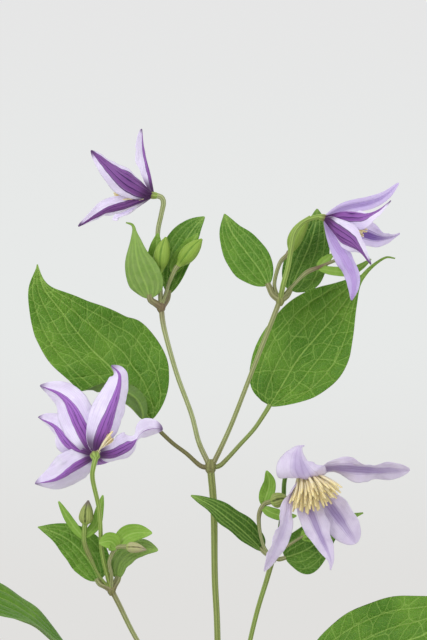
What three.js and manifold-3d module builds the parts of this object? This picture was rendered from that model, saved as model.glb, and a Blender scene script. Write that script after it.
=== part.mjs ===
// A potted clematis of the nodding, non-clinging kind, in flower. Millimetres, +Z up.
// The origin is the middle of the pot's underside. The plant is seen in flower from -Y.
// Every point below is a real place on the plant, [x, y, z] in millimetres.
import * as THREE from "three";
import { mergeVertices } from "three/addons/utils/BufferGeometryUtils.js";
import Module from "manifold-3d";

const wasm = await Module();
wasm.setup();

// Pot and soil
const POT_HEIGHT = 150;
const POT_BASE_RADIUS = 56;
const POT_TOP_RADIUS = 74;
const RIM_RADIUS = 80;
const RIM_HEIGHT = 32;
const POT_WALL = 7;
const POT_FLOOR = 8;
const DRAIN_RADIUS = 5;
const DRAIN_RING = 30;
const SOIL_TOP = 130;
const SOIL_LUMP = 1.4;
const STEM_HOLE_DEPTH = 26;

// Plant
const GAP = 0.3; // clearance between pieces that meet
const BLADE = 0.7; // thickness of leaves and sepals
const STEM = 1.5; // radii of the stem, its side shoots, leaf stalks and flower stalks
const SHOOT = 1.15;
const STALK = 1.0;
const PEDICEL = 1.1;
const PEDICEL_TOP = 1.4;
const BOSS = 2; // radius of the boss that carries the sepals
const BOSS_BACK = 3; // how far it reaches behind its middle
const BLADE_FOOT = 0.8; // half the width of a blade where it meets its stalk, and at its tip
const BLADE_TIP = 0.35;

const BASAL_NODE = [0.3, 0.3, 158];
const LOWER_NODE = [0, 0, 215];
const UPPER_NODE = [-3.75, 0, 366.5];
const STEM_FOOT = [0, 0, SOIL_TOP - STEM_HOLE_DEPTH + 1];

const vec = (p) => new THREE.Vector3(...p);
const curveOf = (points) => new THREE.CatmullRomCurve3(points.map(vec), false, "catmullrom", 0.5);
const mix = (a, b, t) => a + (b - a) * t;

// The value at t of a list of values that are spaced evenly from 0 to 1
function along(values, t) {
  if (!Array.isArray(values)) return values;
  const place = t * (values.length - 1);
  const i = Math.min(Math.floor(place), values.length - 2);
  return mix(values[i], values[i + 1], place - i);
}

// A point at a distance from one point towards another
function toward(from, to, distance) {
  const step = vec(to).sub(vec(from)).setLength(distance);
  return vec(from).add(step).toArray();
}

function closed(positions, index) {
  const made = new THREE.BufferGeometry();
  made.setAttribute("position", new THREE.Float32BufferAttribute(positions, 3));
  made.setIndex(index);
  return made;
}

function solidOf(geometry) {
  const bare = geometry.clone();
  bare.deleteAttribute("normal");
  bare.deleteAttribute("uv");
  const merged = mergeVertices(bare, 1e-4);
  const mesh = new wasm.Mesh({
    numProp: 3,
    vertProperties: merged.attributes.position.array,
    triVerts: new Uint32Array(merged.index.array),
  });
  return new wasm.Manifold(mesh);
}

function geometryOf(solid) {
  const mesh = solid.getMesh();
  const positions = [];
  for (let i = 0; i < mesh.numVert; i++) {
    const start = i * mesh.numProp;
    positions.push(...mesh.vertProperties.subarray(start, start + 3));
  }
  return closed(positions, Array.from(mesh.triVerts));
}

const fuse = (pieces) => geometryOf(pieces.map(solidOf).reduce((whole, piece) => whole.add(piece)));
const cut = (body, tools) =>
  geometryOf(tools.map(solidOf).reduce((whole, tool) => whole.subtract(tool), solidOf(body)));

// A stem, bud or filament: a round or ribbed section swept along a curve, closed at both ends
function sweep(points, radii, { sides = 5, steps = 2 * (points.length - 1), ribs = 0, depth = 0 } = {}) {
  const curve = curveOf(points);
  const frames = curve.computeFrenetFrames(steps, false);
  const positions = [];
  const index = [];
  for (let i = 0; i <= steps; i++) {
    const centre = curve.getPointAt(i / steps);
    for (let j = 0; j < sides; j++) {
      const angle = (2 * Math.PI * j) / sides;
      const radius = along(radii, i / steps) * (1 + depth * Math.cos(ribs * angle));
      const point = centre
        .clone()
        .addScaledVector(frames.normals[i], radius * Math.cos(angle))
        .addScaledVector(frames.binormals[i], radius * Math.sin(angle));
      positions.push(...point.toArray());
    }
  }
  const first = positions.length / 3;
  positions.push(...curve.getPointAt(0).toArray(), ...curve.getPointAt(1).toArray());
  for (let j = 0; j < sides; j++) {
    const next = (j + 1) % sides;
    for (let i = 0; i < steps; i++) {
      const [a, b] = [i * sides + j, i * sides + next];
      index.push(a, b, b + sides, a, b + sides, a + sides);
    }
    index.push(first, next, j, first + 1, steps * sides + j, steps * sides + next);
  }
  return closed(positions, index);
}

// The width of a blade along its length, from 0 at both ends to about 1 at its widest
function outline(t, widest, taper, blunt) {
  const narrow = t < widest ? taper * blunt : taper;
  const swell = (narrow * widest) / (1 - widest);
  return (t / widest) ** swell * ((1 - t) / (1 - widest)) ** narrow;
}

// The middle surface of a leaf or sepal. spine runs from the stalk to the tip, and face is the way
// that the upper side looks, at the base and at the tip. u runs across the blade from -1 to 1; half,
// widest, taper and blunt are given for the side u < 0 and the side u > 0. fold lifts both halves
// towards the face, as a share of the width, and waves ripple the edges. tail is the share of the
// length that is a bare point, waist is where the blade is pinched, and lobe is how far up the blade
// the base lobe of the side u < 0 is turned in.
function bladeSurface(blade) {
  const curve = curveOf(blade.spine);
  const { face, faceTip = face, half, widest, taper, fold = 0.1, waves = 3, ripple = 0.8 } = blade;
  const { blunt = [1, 1], tail = 0, waist, lobe } = blade;
  const frame = (t) => {
    const tangent = curve.getTangentAt(t);
    const normal = vec(face).normalize().lerp(vec(faceTip).normalize(), t);
    normal.addScaledVector(tangent, -normal.dot(tangent)).normalize();
    return { normal, side: tangent.clone().cross(normal) };
  };
  return (t, u) => {
    const { normal, side } = frame(t);
    const k = u < 0 ? 0 : 1;
    const body = half[k] * outline(Math.min(t / (1 - tail), 1), widest[k], taper[k], blunt[k]);
    let width = body + mix(BLADE_FOOT, BLADE_TIP, t) + 4 * Math.min(1 - t, tail);
    if (waist) width *= 1 - 0.7 * Math.exp(-(((t - waist) / 0.09) ** 2));
    if (lobe && k === 0) width = Math.min(width, 3.3 + 28 * (t / lobe) ** 3);
    const lift = Math.abs(u) * width * along(fold, t);
    const wave = ripple * u * u * Math.sin(Math.PI * t) * Math.sin(2 * Math.PI * waves * t + 2 * k);
    return curve
      .getPointAt(t)
      .addScaledVector(side, u * width)
      .addScaledVector(normal, lift + wave);
  };
}

// A blade of even thickness: two like grids of triangles, joined round the edge
function bladeSolid(blade, rows, columns) {
  const surface = bladeSurface(blade);
  const small = 0.004;
  const positions = [];
  const index = [];
  for (const side of [0.5, -0.5])
    for (let i = 0; i <= rows; i++)
      for (let j = 0; j <= columns; j++) {
        const s = i / rows;
        const t = mix(s, (1 - Math.cos(Math.PI * s)) / 2, 0.5);
        const u = (2 * j) / columns - 1;
        const inner = Math.min(Math.max(t, small), 1 - small);
        const [left, right] = [Math.max(u - small, -1), Math.min(u + small, 1)];
        const across = surface(inner, right).sub(surface(inner, left));
        const onward = surface(inner + small, u).sub(surface(inner - small, u));
        const normal = across.cross(onward).normalize();
        positions.push(...surface(t, u).addScaledVector(normal, side * BLADE).toArray());
      }
  const wide = columns + 1;
  const under = (rows + 1) * wide;
  for (let i = 0; i < rows; i++)
    for (let j = 0; j < columns; j++) {
      const [a, b] = [i * wide + j, (i + 1) * wide + j];
      index.push(a, a + 1, b + 1, a, b + 1, b);
      index.push(under + a, under + b + 1, under + a + 1, under + a, under + b, under + b + 1);
    }
  const wall = (p, q) => index.push(p, q, under + q, p, under + q, under + p);
  for (let i = 0; i < rows; i++) {
    wall(i * wide, (i + 1) * wide);
    wall((i + 1) * wide + columns, i * wide + columns);
  }
  for (let j = 0; j < columns; j++) {
    wall(j + 1, j);
    wall(rows * wide + j, rows * wide + j + 1);
  }
  return closed(positions, index);
}

const colours = {
  terracotta: [0xb4694a, 0.85],
  soil: [0x3b2a20, 0.95],
  stem: [0x7d8a48, 0.55],
  leaf: [0x5d8a34, 0.5],
  bud: [0x8fa54a, 0.5],
  sepal: [0xc3a9dc, 0.5],
  stamen: [0xe0d3a0, 0.6],
};
const clematis = new THREE.Group();

function addPiece(name, colour, geometry) {
  const [color, roughness] = colours[colour];
  const material = new THREE.MeshStandardMaterial({ color, roughness, metalness: 0 });
  const mesh = new THREE.Mesh(geometry, material);
  mesh.name = name;
  clematis.add(mesh);
}

// The last two points of a stalk: it turns into the line of its leaf or bud, and ends a gap short
const stalkEnd = (spine, turn = 2.2) => [
  toward(spine[0], spine[1], -turn - GAP),
  toward(spine[0], spine[1], -GAP),
];

// Pot: a thrown and turned clay pot with a rolled rim, and four drainage holes off the middle
function pot() {
  const innerFloor = POT_BASE_RADIUS - POT_WALL;
  const innerTop = RIM_RADIUS - POT_WALL - 2;
  const rimFoot = POT_HEIGHT - RIM_HEIGHT;
  const profile = [
    [0, 0],
    [POT_BASE_RADIUS - 2, 0],
    [POT_BASE_RADIUS, 2],
    [POT_TOP_RADIUS, rimFoot],
    [RIM_RADIUS - 1, rimFoot],
    [RIM_RADIUS, rimFoot + 2],
    [RIM_RADIUS, POT_HEIGHT - 3],
    [RIM_RADIUS - 3, POT_HEIGHT],
    [innerTop + 2, POT_HEIGHT],
    [innerTop, POT_HEIGHT - 2],
    [innerFloor, POT_FLOOR],
    [0, POT_FLOOR],
  ];
  const body = new THREE.LatheGeometry(profile.map((p) => new THREE.Vector2(...p)), 36);
  body.rotateX(Math.PI / 2);
  const holes = [0, 1, 2, 3].map((k) => {
    const hole = new THREE.CylinderGeometry(DRAIN_RADIUS, DRAIN_RADIUS, 3 * POT_FLOOR, 12);
    hole.rotateX(Math.PI / 2);
    const angle = (k + 0.5) * (Math.PI / 2);
    return hole.translate(DRAIN_RING * Math.cos(angle), DRAIN_RING * Math.sin(angle), 0);
  });
  return cut(body, holes);
}

// Soil: fills the pot to a finger below its rim, lumpy on top, with a hole for the stem
function soil() {
  const rings = 6;
  const sides = 28;
  const wallSlope = (RIM_RADIUS - POT_BASE_RADIUS - 2) / (POT_HEIGHT - 2 - POT_FLOOR);
  const radiusAt = (z) => POT_BASE_RADIUS - POT_WALL + wallSlope * (z - POT_FLOOR) - GAP - 0.4;
  const foot = POT_FLOOR + GAP;
  const positions = [0, 0, SOIL_TOP, 0, 0, foot];
  const index = [];
  for (let i = 1; i <= rings + 1; i++)
    for (let j = 0; j < sides; j++) {
      const share = Math.min(i / rings, 1);
      const angle = (2 * Math.PI * (j + (i % 2) / 2)) / sides;
      const broad = Math.sin(5 * angle + 3 * i) * Math.cos(7 * angle - 2 * i);
      const lump = broad + Math.sin(11 * angle + i);
      const z = i > rings ? foot : SOIL_TOP + SOIL_LUMP * (share * lump - 2 * share ** 4);
      const radius = i > rings ? radiusAt(foot) : share * radiusAt(SOIL_TOP - 4);
      positions.push(radius * Math.cos(angle), radius * Math.sin(angle), z);
    }
  for (let j = 0; j < sides; j++) {
    const next = (j + 1) % sides;
    index.push(0, 2 + j, 2 + next, 1, 2 + rings * sides + next, 2 + rings * sides + j);
    for (let i = 0; i < rings; i++) {
      const [a, b] = [2 + i * sides + j, 2 + i * sides + next];
      index.push(a, a + sides, b + sides, a, b + sides, b);
    }
  }
  const bore = STEM + 0.5 + GAP;
  const hole = new THREE.CylinderGeometry(bore, bore, 2 * STEM_HOLE_DEPTH, 12);
  hole.rotateX(Math.PI / 2).translate(0, 0, SOIL_TOP);
  return cut(closed(positions, index), [hole]);
}

addPiece("pot", "terracotta", pot());
addPiece("soil", "soil", soil());

// Leaves. The big ones stand in pairs on the main stem.
const even = (value) => [value, value];
const bigLeaves = {
  leaf_upper_left: {
    spine: [
      [-33.5, 5, 390],
      [-41.6, 8, 400.5],
      [-52, 12, 413.5],
      [-64.6, 15.5, 426.2],
      [-77.2, 18, 442.3],
      [-87.5, 20, 455.5],
      [-91, 20.5, 468],
    ],
    face: [0.1, -1, 0.3],
    half: [20.8, 27],
    widest: [0.58, 0.36],
    taper: [1.35, 1.97],
    blunt: [0.25, 0.57],
    lobe: 0.4,
    waves: 5,
    ripple: 1.1,
  },
  leaf_upper_right: {
    spine: [
      [25.9, 6, 397.3],
      [33, 9, 409],
      [40.6, 11.5, 421],
      [51, 14.5, 433],
      [63.8, 17, 449],
      [71, 18, 459.5],
      [77, 17, 466.5],
      [84, 15, 471.3],
      [88.9, 13, 471],
    ],
    face: [-0.1, -1, 0.3],
    half: [21.5, 22],
    widest: [0.5, 0.4],
    taper: [1.2, 2],
    blunt: [0.3, 0.66],
    tail: 0.2,
    waves: 2,
  },
  leaf_lower_left: {
    spine: [
      [-66, -4, 267],
      [-85, -9, 284],
      [-97, -12, 293],
      [-112, -15, 299.5],
      [-130, -18, 302],
      [-146, -20, 299],
    ],
    face: [0.45, -0.02, 0.85],
    faceTip: [0.1, -0.46, 0.88],
    half: even(22),
    widest: even(0.48),
    taper: even(1),
    waves: 3,
  },
  leaf_lower_right: {
    spine: [
      [43.5, -8, 257.5],
      [62, -12, 266],
      [78, -16, 273.5],
      [94.5, -19, 281],
      [112, -21, 288],
      [126, -21.5, 293],
      [138, -22, 296],
    ],
    face: [-0.1, -0.85, 0.5],
    half: even(26),
    widest: even(0.38),
    taper: even(1),
    waves: 4,
  },
  leaf_basal_front: {
    spine: [
      [12, -33, 182],
      [16, -44, 190],
      [20, -56, 195],
      [23, -68, 195],
    ],
    face: [0, 0.3, 1],
    half: even(13),
    widest: even(0.38),
    taper: even(1),
    waves: 2,
  },
  leaf_basal_back: {
    spine: [
      [-13, 33, 185],
      [-18, 45, 194],
      [-23, 58, 199],
      [-26, 71, 198],
    ],
    face: [0, -0.3, 1],
    half: even(14),
    widest: even(0.38),
    taper: even(1),
    waves: 2,
  },
};

// The small leaves stand in pairs where a side shoot branches into its flower and buds.
const smallLeaves = {
  leaf_small_ul_left: {
    spine: [
      [-34, -1, 451],
      [-35.5, -2.4, 456.5],
      [-38.2, -3.8, 463.5],
      [-40.4, -4.8, 472],
      [-41.4, -5, 481],
      [-42.4, -6, 487],
      [-45.8, -8, 488.6],
    ],
    face: [0.35, 0.9, 0.1],
    half: [8.6, 8.2],
    widest: even(0.3),
    taper: even(1.5),
    tail: 0.14,
    ripple: 0.4,
  },
  leaf_small_ul_right: {
    spine: [
      [-25, 8, 453],
      [-22.6, 10, 465],
      [-18.5, 12, 476.5],
      [-12.8, 13, 485.5],
      [-6.75, 13, 491.9],
    ],
    face: [-0.25, -0.9, 0.2],
    half: [8.6, 7.4],
    widest: [0.52, 0.46],
    taper: even(0.95),
    ripple: 0.4,
  },
  leaf_small_ur_left: {
    spine: [
      [25, -3.5, 457.5],
      [20, -2, 466],
      [13.4, 0, 475],
      [7, 2, 484],
      [3.2, 3, 493.1],
    ],
    face: [0.15, -0.95, 0.25],
    half: [12, 8.5],
    widest: [0.38, 0.42],
    taper: even(1),
    ripple: 0.5,
  },
  leaf_small_ur_right: {
    spine: [
      [36, 2, 455],
      [41, 6, 466],
      [46, 9, 478],
      [49, 10.5, 488],
      [49.8, 11, 495.8],
    ],
    face: [-0.2, -1, 0.2],
    half: [8.5, 13],
    widest: [0.4, 0.3],
    taper: even(0.9),
    ripple: 0.5,
  },
  leaf_small_ll_left: {
    spine: [
      [-59.5, -15, 310.5],
      [-64, -14, 319.5],
      [-70.5, -13, 327.5],
      [-79.5, -13, 333.5],
      [-89.6, -14, 337],
    ],
    face: [0, -1, 0.3],
    half: [10, 10.4],
    widest: [0.35, 0.34],
    taper: [1.1, 1.15],
    ripple: 0.9,
  },
  leaf_small_ll_right: {
    spine: [
      [-50, -13, 311.5],
      [-46.8, -14.5, 317.5],
      [-41.2, -16, 322],
      [-35, -17, 324.8],
      [-29.8, -17.5, 325.6],
    ],
    face: [-0.3, -0.9, 0.35],
    half: [8.5, 3.6],
    widest: [0.45, 0.4],
    taper: even(0.8),
    ripple: 0.5,
  },
  leaf_small_lr_left: {
    spine: [
      [22, -13, 325.5],
      [14.5, -15.5, 333],
      [5, -17, 341],
      [-4, -17.5, 348],
      [-13.5, -17, 352.8],
    ],
    face: [-0.15, -0.7, 0.7],
    half: [5, 6.2],
    widest: even(0.45),
    taper: even(0.9),
    ripple: 0.6,
  },
  leaf_small_lr_right: {
    spine: [
      [33.5, -10.5, 321.5],
      [43.5, -8, 325.5],
      [53, -6.5, 331.5],
      [63, -5.5, 338.5],
      [72.5, -5, 343.8],
    ],
    face: [0.1, -0.85, 0.5],
    half: [10.5, 13],
    widest: [0.3, 0.18],
    taper: [1.1, 3],
    ripple: 0.6,
  },
};

for (const [name, blade] of Object.entries(bigLeaves)) {
  addPiece(name, "leaf", bladeSolid(blade, 12, 4));
}
for (const [name, blade] of Object.entries(smallLeaves)) {
  addPiece(name, "leaf", bladeSolid(blade, 8, 4));
}

// Buds, each from its foot to its tip, with the radius in the middle
const buds = {
  bud_ul_centre: { line: [[-29.2, -0.6, 463.6], [-28.2, -1, 472], [-26, -1, 481.5]], radius: 4 },
  bud_ul_right: { line: [[-20, -0.6, 467], [-14.6, -0.8, 473.4], [-8, -1, 480.5]], radius: 3.7 },
  bud_ur_big: { line: [[36.2, -0.3, 474], [39.4, 0, 482.5], [46, 0.5, 492]], radius: 3.8 },
  bud_ur_small: { line: [[58.2, -3, 469.6], [61.5, -3.4, 470.6], [65, -3.6, 471.4]], radius: 2.4 },
  bud_ll_left: { line: [[-66, -22, 338.5], [-65.2, -22, 344.5], [-64.4, -22, 350.5]], radius: 3.7 },
  bud_ll_right: { line: [[-45.6, -24, 327.5], [-40.5, -24.4, 327], [-35.5, -24.5, 326]], radius: 2.8 },
  bud_lr: { line: [[26.2, -16, 349.6], [31, -16, 350.6], [36, -16, 350.2]], radius: 3.8 },
};
const BUD_SHAPE = [0.32, 0.85, 1, 0.96, 0.8, 0.52, 0.1];
for (const [name, { line, radius }] of Object.entries(buds)) {
  const radii = BUD_SHAPE.map((share) => share * radius);
  addPiece(name, "bud", sweep(line, radii, { sides: 8, steps: 7, ribs: 4, depth: 0.06 }));
}

// Flowers. Each has its boss, the way that it looks, and its sepals, each a line of points from near
// the boss to the tip. The inner side of a sepal looks to the flower's axis, unless face says other.
const flowers = {
  flower_ul: {
    boss: [-32.4, 5.2, 502.4],
    axis: [-0.96, 0.25, 0.08],
    tuft: { count: 9, length: 15, spread: 0.2, width: 1.3 },
    sepals: [
      {
        points: [[-34.6, 13, 514], [-37.4, 20.5, 525], [-38.6, 26, 536.3]],
        half: 6.8,
        fold: [0.7, 0.35],
      },
      { points: [[-40.6, -2.8, 507.2], [-49.5, -10.6, 513], [-63.2, -19, 524.2]], half: 7.3 },
      { points: [[-44, 0, 497.6], [-56, -6, 494], [-69.6, -11, 486.7]], half: 6.6, fold: [0.6, 0.5] },
      { points: [[-39.6, 14, 498], [-46, 23, 494.6], [-53.2, 31, 490.7]], half: 6.6, fold: [0.6, 0.4] },
    ],
  },
  flower_ur: {
    boss: [52.6, -8, 491],
    axis: [0.96, -0.12, -0.22],
    tuft: { count: 9, length: 20, spread: 0.14, width: 1.1 },
    sepals: [
      {
        points: [[64, -3, 496], [76, 1.5, 498.6], [84, 3.4, 502.4], [90.5, 4, 508.6]],
        half: 2.8,
        face: [0.2, -1, 0.2],
        fold: 0.2,
      },
      {
        points: [[62.4, -17, 493.2], [73, -24.5, 492.4], [80, -27.4, 494.6], [85.7, -29, 499]],
        half: [6.2, 3.6],
        fold: [0.6, 0.4],
      },
      { points: [[60, -18, 482.6], [68.4, -28, 476.6], [75.7, -34, 467.5]], half: 6.8, fold: 0.3 },
      {
        points: [[58.5, -12, 479.5], [64, -15.5, 470], [67.8, -16.5, 460], [66.4, -16, 449.8]],
        half: [8.4, 2.6],
        widest: even(0.6),
        face: [0.1, 1, 0],
        fold: [0.1, 0.3],
      },
      {
        points: [[64.6, 1, 486], [77, 9, 481.6], [85, 11.6, 481.4], [91.4, 13, 483.4]],
        half: 6.6,
        fold: [0.5, 0.3],
      },
    ],
  },
  flower_ll: {
    boss: [-60.9, -31, 372.8],
    axis: [-0.2, 0.83, 0.52],
    tuft: { count: 9, length: 15, spread: 0.16, width: 1.3 },
    sepals: [
      {
        points: [[-55.6, -24, 387], [-50.8, -19, 401], [-49, -17, 410], [-53, -15, 417.4]],
        half: 8.6,
        widest: even(0.42),
      },
      {
        points: [[-68.4, -25, 387.4], [-73.6, -21.5, 397.6], [-79.3, -20, 403.5], [-88.4, -19, 407.5]],
        half: 8.6,
      },
      { points: [[-72.6, -19, 376.6], [-81.5, -8, 386.6], [-89.7, 0, 391.5]], half: 8 },
      { points: [[-70.4, -18, 367.2], [-81, -7, 360.6], [-91.4, 0, 358.2]], half: 7.6 },
      {
        points: [[-51.6, -22, 373.4], [-43.5, -16, 377.6], [-36, -12.5, 385], [-27.5, -13.5, 386]],
        half: 6.8,
        waist: 0.66,
      },
      { points: [[-57, -18, 369.4], [-53.4, -5, 370.4], [-51, 6, 373]], half: 7 },
    ],
  },
  flower_lr: {
    boss: [42.8, -34, 364.2],
    axis: [0.3, -0.6, -0.74],
    tuft: { count: 20, length: 17, spread: 0.5, width: 1.9, aim: [0.3, -0.42, -0.86] },
    sepals: [
      {
        points: [
          [43.9, -40, 362.4],
          [43.4, -44, 364],
          [41.4, -45, 368.4],
          [39.4, -43, 373],
          [39.8, -40, 376.6],
          [46.2, -37.6, 376.4],
        ],
        half: 10.2,
        widest: even(0.38),
        taper: even(0.7),
        face: [0, -0.6, -0.8],
        faceTip: [0.2, -0.6, 0.9],
        fold: -0.35,
      },
      {
        points: [[57, -34, 367], [75.7, -35, 366], [94.9, -32, 365.8]],
        half: 6.9,
        widest: even(0.58),
        taper: even(0.6),
        fold: 0.1,
        ripple: 1.6,
      },
      {
        points: [[51.8, -30.5, 353], [59.4, -30, 342.7], [68.3, -28, 329.2]],
        half: 8.2,
        widest: even(0.6),
        taper: even(0.6),
        fold: 0.2,
      },
      {
        points: [[43.8, -30.5, 351], [48.8, -31.5, 337.6], [55.2, -32, 323], [55.7, -32, 316.3]],
        half: 6.2,
        fold: 0.3,
      },
      {
        points: [[35.6, -38.5, 353], [32.4, -40, 339], [27.4, -38.5, 326], [22.8, -36.5, 315.9]],
        half: 4.6,
        widest: even(0.64),
        fold: 0.3,
      },
    ],
  },
};

// A sepal: a boat-shaped blade whose root is sunk in the boss
function sepalBlade(flower, sepal) {
  const root = toward(flower.boss, sepal.points[0], 0.6 * BOSS);
  return {
    face: flower.axis,
    fold: [0.55, 0.35],
    waves: 2,
    ripple: 0.5,
    widest: even(0.48),
    taper: even(0.85),
    ...sepal,
    spine: [root, ...sepal.points],
    half: Array.isArray(sepal.half) ? sepal.half : even(sepal.half),
  };
}

// The tuft of stamens: flat-tipped filaments round the axis, on a small dome
function stamens({ boss, axis, tuft }) {
  const ahead = vec(tuft.aim ?? axis).normalize();
  const side = new THREE.Vector3(0, 0, 1).cross(ahead).normalize();
  const up = ahead.clone().cross(side);
  const at = (forward, across, angle) =>
    vec(boss)
      .addScaledVector(ahead, forward)
      .addScaledVector(side, across * Math.cos(angle))
      .addScaledVector(up, across * Math.sin(angle))
      .toArray();
  const foot = BOSS + 1;
  const dome = [tuft.width, tuft.width + 0.4, tuft.width - 0.1];
  const parts = [sweep([at(foot, 0, 0), at(foot + 2, 0, 0)], dome, { sides: 6, steps: 2 })];
  for (let k = 0; k < tuft.count; k++) {
    const angle = k * 2.4; // the golden angle, which spreads them evenly
    const lean = tuft.spread * Math.sqrt((k + 0.5) / tuft.count);
    const tip = at(foot + tuft.length * Math.cos(lean), tuft.length * Math.sin(lean), angle);
    const root = at(foot + 1.2, 0.9 * tuft.width * Math.sqrt((k + 0.5) / tuft.count), angle);
    parts.push(sweep([root, tip], [0.25, 0.7, 0.25], { sides: 3, steps: 2 }));
  }
  return fuse(parts);
}

for (const [name, flower] of Object.entries(flowers)) {
  const back = vec(flower.boss).sub(vec(flower.axis).setLength(BOSS_BACK)).toArray();
  const front = vec(flower.boss).add(vec(flower.axis).setLength(BOSS)).toArray();
  const boss = sweep([back, front], [0.6 * BOSS, BOSS, BOSS, 0.7 * BOSS], { sides: 8, steps: 3 });
  const sepals = flower.sepals.map((sepal) => bladeSolid(sepalBlade(flower, sepal), 7, 4));
  addPiece(name + "_sepals", "sepal", fuse([boss, ...sepals]));
  addPiece(name + "_stamens", "stamen", stamens(flower));
}

// The last two points of a flower's stalk, which ends a gap behind its boss
function pedicelEnd({ boss, axis }) {
  const behind = (distance) => vec(boss).sub(vec(axis).setLength(distance)).toArray();
  return [behind(BOSS_BACK + GAP + 2), behind(BOSS_BACK + GAP)];
}

// A bract: a small plain leaf on a bud's stalk
function bract(spine, half) {
  const shape = {
    spine,
    face: [0, -1, 0.3],
    half: even(half),
    widest: even(0.42),
    taper: even(0.85),
    fold: 0.25,
    ripple: 0,
  };
  return bladeSolid(shape, 5, 2);
}

const swelling = (centre, radius) => {
  const [x, y, z] = centre;
  const line = [[x, y, z - 1.3 * radius], centre, [x, y, z + 1.3 * radius]];
  const radii = [0.4 * radius, radius, radius, 0.4 * radius];
  return sweep(line, radii, { sides: 6, steps: 3 });
};

// Main stem, with its swollen nodes and the stalks of the big leaves
function mainStem() {
  const stalk = (points, leaf) => {
    const line = [...points, ...stalkEnd(bigLeaves[leaf].spine, 4)];
    return sweep(line, [1.3, STALK, STALK, STALK]);
  };
  const line = [
    STEM_FOOT,
    [0.4, 0.4, 160],
    LOWER_NODE,
    [-0.25, 0, 280],
    [-1.6, 0, 312],
    [-2.05, 0, 345],
    UPPER_NODE,
  ];
  const right = [[0.6, 0.8, 367], [4.8, 1.5, 370.8], [10.9, 2.6, 377.5], [18.1, 4, 385.4]];
  return fuse([
    sweep(line, [STEM + 0.5, STEM + 0.2, STEM, STEM, STEM + 0.2], { sides: 6, steps: 14 }),
    swelling(BASAL_NODE, 2.6),
    swelling(LOWER_NODE, 2.8),
    swelling(UPPER_NODE, 2.7),
    stalk([UPPER_NODE, [-8.6, 0.8, 367], [-15.8, 2.5, 373.2], [-23.1, 3.8, 378.7]], "leaf_upper_left"),
    stalk([UPPER_NODE, ...right], "leaf_upper_right"),
    stalk([LOWER_NODE, [-7, -1, 219], [-26, -3, 235], [-48, -4, 254]], "leaf_lower_left"),
    stalk([LOWER_NODE, [6, -2, 219], [20, -5, 232], [34, -7, 247]], "leaf_lower_right"),
    stalk([BASAL_NODE, [4, -14, 164], [8.6, -25, 174]], "leaf_basal_front"),
    stalk([BASAL_NODE, [-5, 14, 165], [-9.6, 25, 176]], "leaf_basal_back"),
  ]);
}
addPiece("main_stem", "stem", mainStem());

// A side shoot: a branch up to its own node, then the flower's stalk, the stalks of the small leaves
// and buds, and the bracts, all grown as one piece
function shoot({ branch, node, pedicel, flower, leafStalks, budStalks, extras = [] }) {
  const flowerLine = [node, ...pedicel, ...pedicelEnd(flowers[flower])];
  const parts = [
    sweep([...branch, node], [SHOOT + 0.2, SHOOT, SHOOT, SHOOT + 0.1], { steps: 2 * branch.length }),
    swelling(node, 2),
    sweep(flowerLine, [PEDICEL, PEDICEL, PEDICEL, PEDICEL_TOP], { steps: 11 }),
  ];
  for (const [leaf, points] of Object.entries(leafStalks)) {
    const line = [node, ...points, ...stalkEnd(smallLeaves[leaf].spine)];
    parts.push(sweep(line, [1.3, 1.2, STALK], { steps: 4 }));
  }
  for (const [bud, points] of Object.entries(budStalks)) {
    const line = [...points, ...stalkEnd(buds[bud].line, 1.5)];
    parts.push(sweep(line, [0.9, 0.85, 0.9, 1.1], { steps: points.length + 3 }));
  }
  return fuse([...parts, ...extras]);
}

const NODE_UL = [-28.5, 2, 446.5];
const NODE_UR = [31, -4, 450];
const NODE_LL = [-53, -14, 305.7];
const NODE_LR = [27.5, -12, 322];

const shootUpperLeft = {
  branch: [
    [-5.6, 0.4, 370],
    [-9.75, 0.8, 379.3],
    [-13.4, 1.2, 393.2],
    [-20.7, 1.6, 413.2],
    [-26.8, 1.9, 435],
  ],
  node: NODE_UL,
  pedicel: [
    [-29, 5.6, 456],
    [-29.9, 7.6, 470],
    [-30.2, 7.6, 483.5],
    [-28.4, 6.4, 493],
    [-27, 5, 498.6],
  ],
  flower: "flower_ul",
  leafStalks: {
    leaf_small_ul_left: [[-31.3, 0.4, 448.4]],
    leaf_small_ul_right: [[-26.6, 5.4, 448.8]],
  },
  budStalks: {
    bud_ul_centre: [NODE_UL, [-29, 0.4, 453], [-29.4, -0.4, 459]],
    bud_ul_right: [NODE_UL, [-26, 0.6, 453.6], [-24.7, 0, 458]],
  },
  extras: [
    bract([[-29.4, -0.2, 460], [-31.6, 4.6, 466], [-31.2, 4.7, 475], [-30, 4.2, 483.5]], 3.6),
    bract([[-22.6, -0.2, 463.4], [-20, 4, 469], [-14.5, 4.4, 477], [-10.1, 4, 483.3]], 3.4),
  ],
};

const shootUpperRight = {
  branch: [
    [-1.5, -0.2, 370],
    [3.5, -0.8, 380.5],
    [8.4, -1.5, 392],
    [17.5, -2.6, 415.6],
    [26.6, -3.7, 438.7],
  ],
  node: NODE_UR,
  pedicel: [
    [32.6, -8, 457.9],
    [36.2, -8.8, 474],
    [38, -8.9, 483],
    [41.9, -8.8, 488.4],
    [46.6, -8.4, 490.9],
  ],
  flower: "flower_ur",
  leafStalks: {
    leaf_small_ur_left: [[27.4, -4, 452.6]],
    leaf_small_ur_right: [[33.8, -1, 451.8]],
  },
  budStalks: {
    bud_ur_big: [NODE_UR, [28.6, -3.2, 455], [28.4, -2.2, 460], [31, -1, 468.6]],
    bud_ur_small: [NODE_UR, [37.6, -4, 457.4], [44, -3.4, 463.6], [50.2, -3, 466.3]],
  },
  extras: [
    bract([[50, -3, 466.2], [53, -2.4, 469.6], [57.6, -1.2, 474]], 2.2),
    bract(
      [
        [50.4, -3, 465.8],
        [57, -4, 463.8],
        [65.5, -4, 463.4],
        [70.5, -3.6, 465.8],
        [76.5, -3, 470.4],
      ],
      2.4,
    ),
  ],
};

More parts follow.
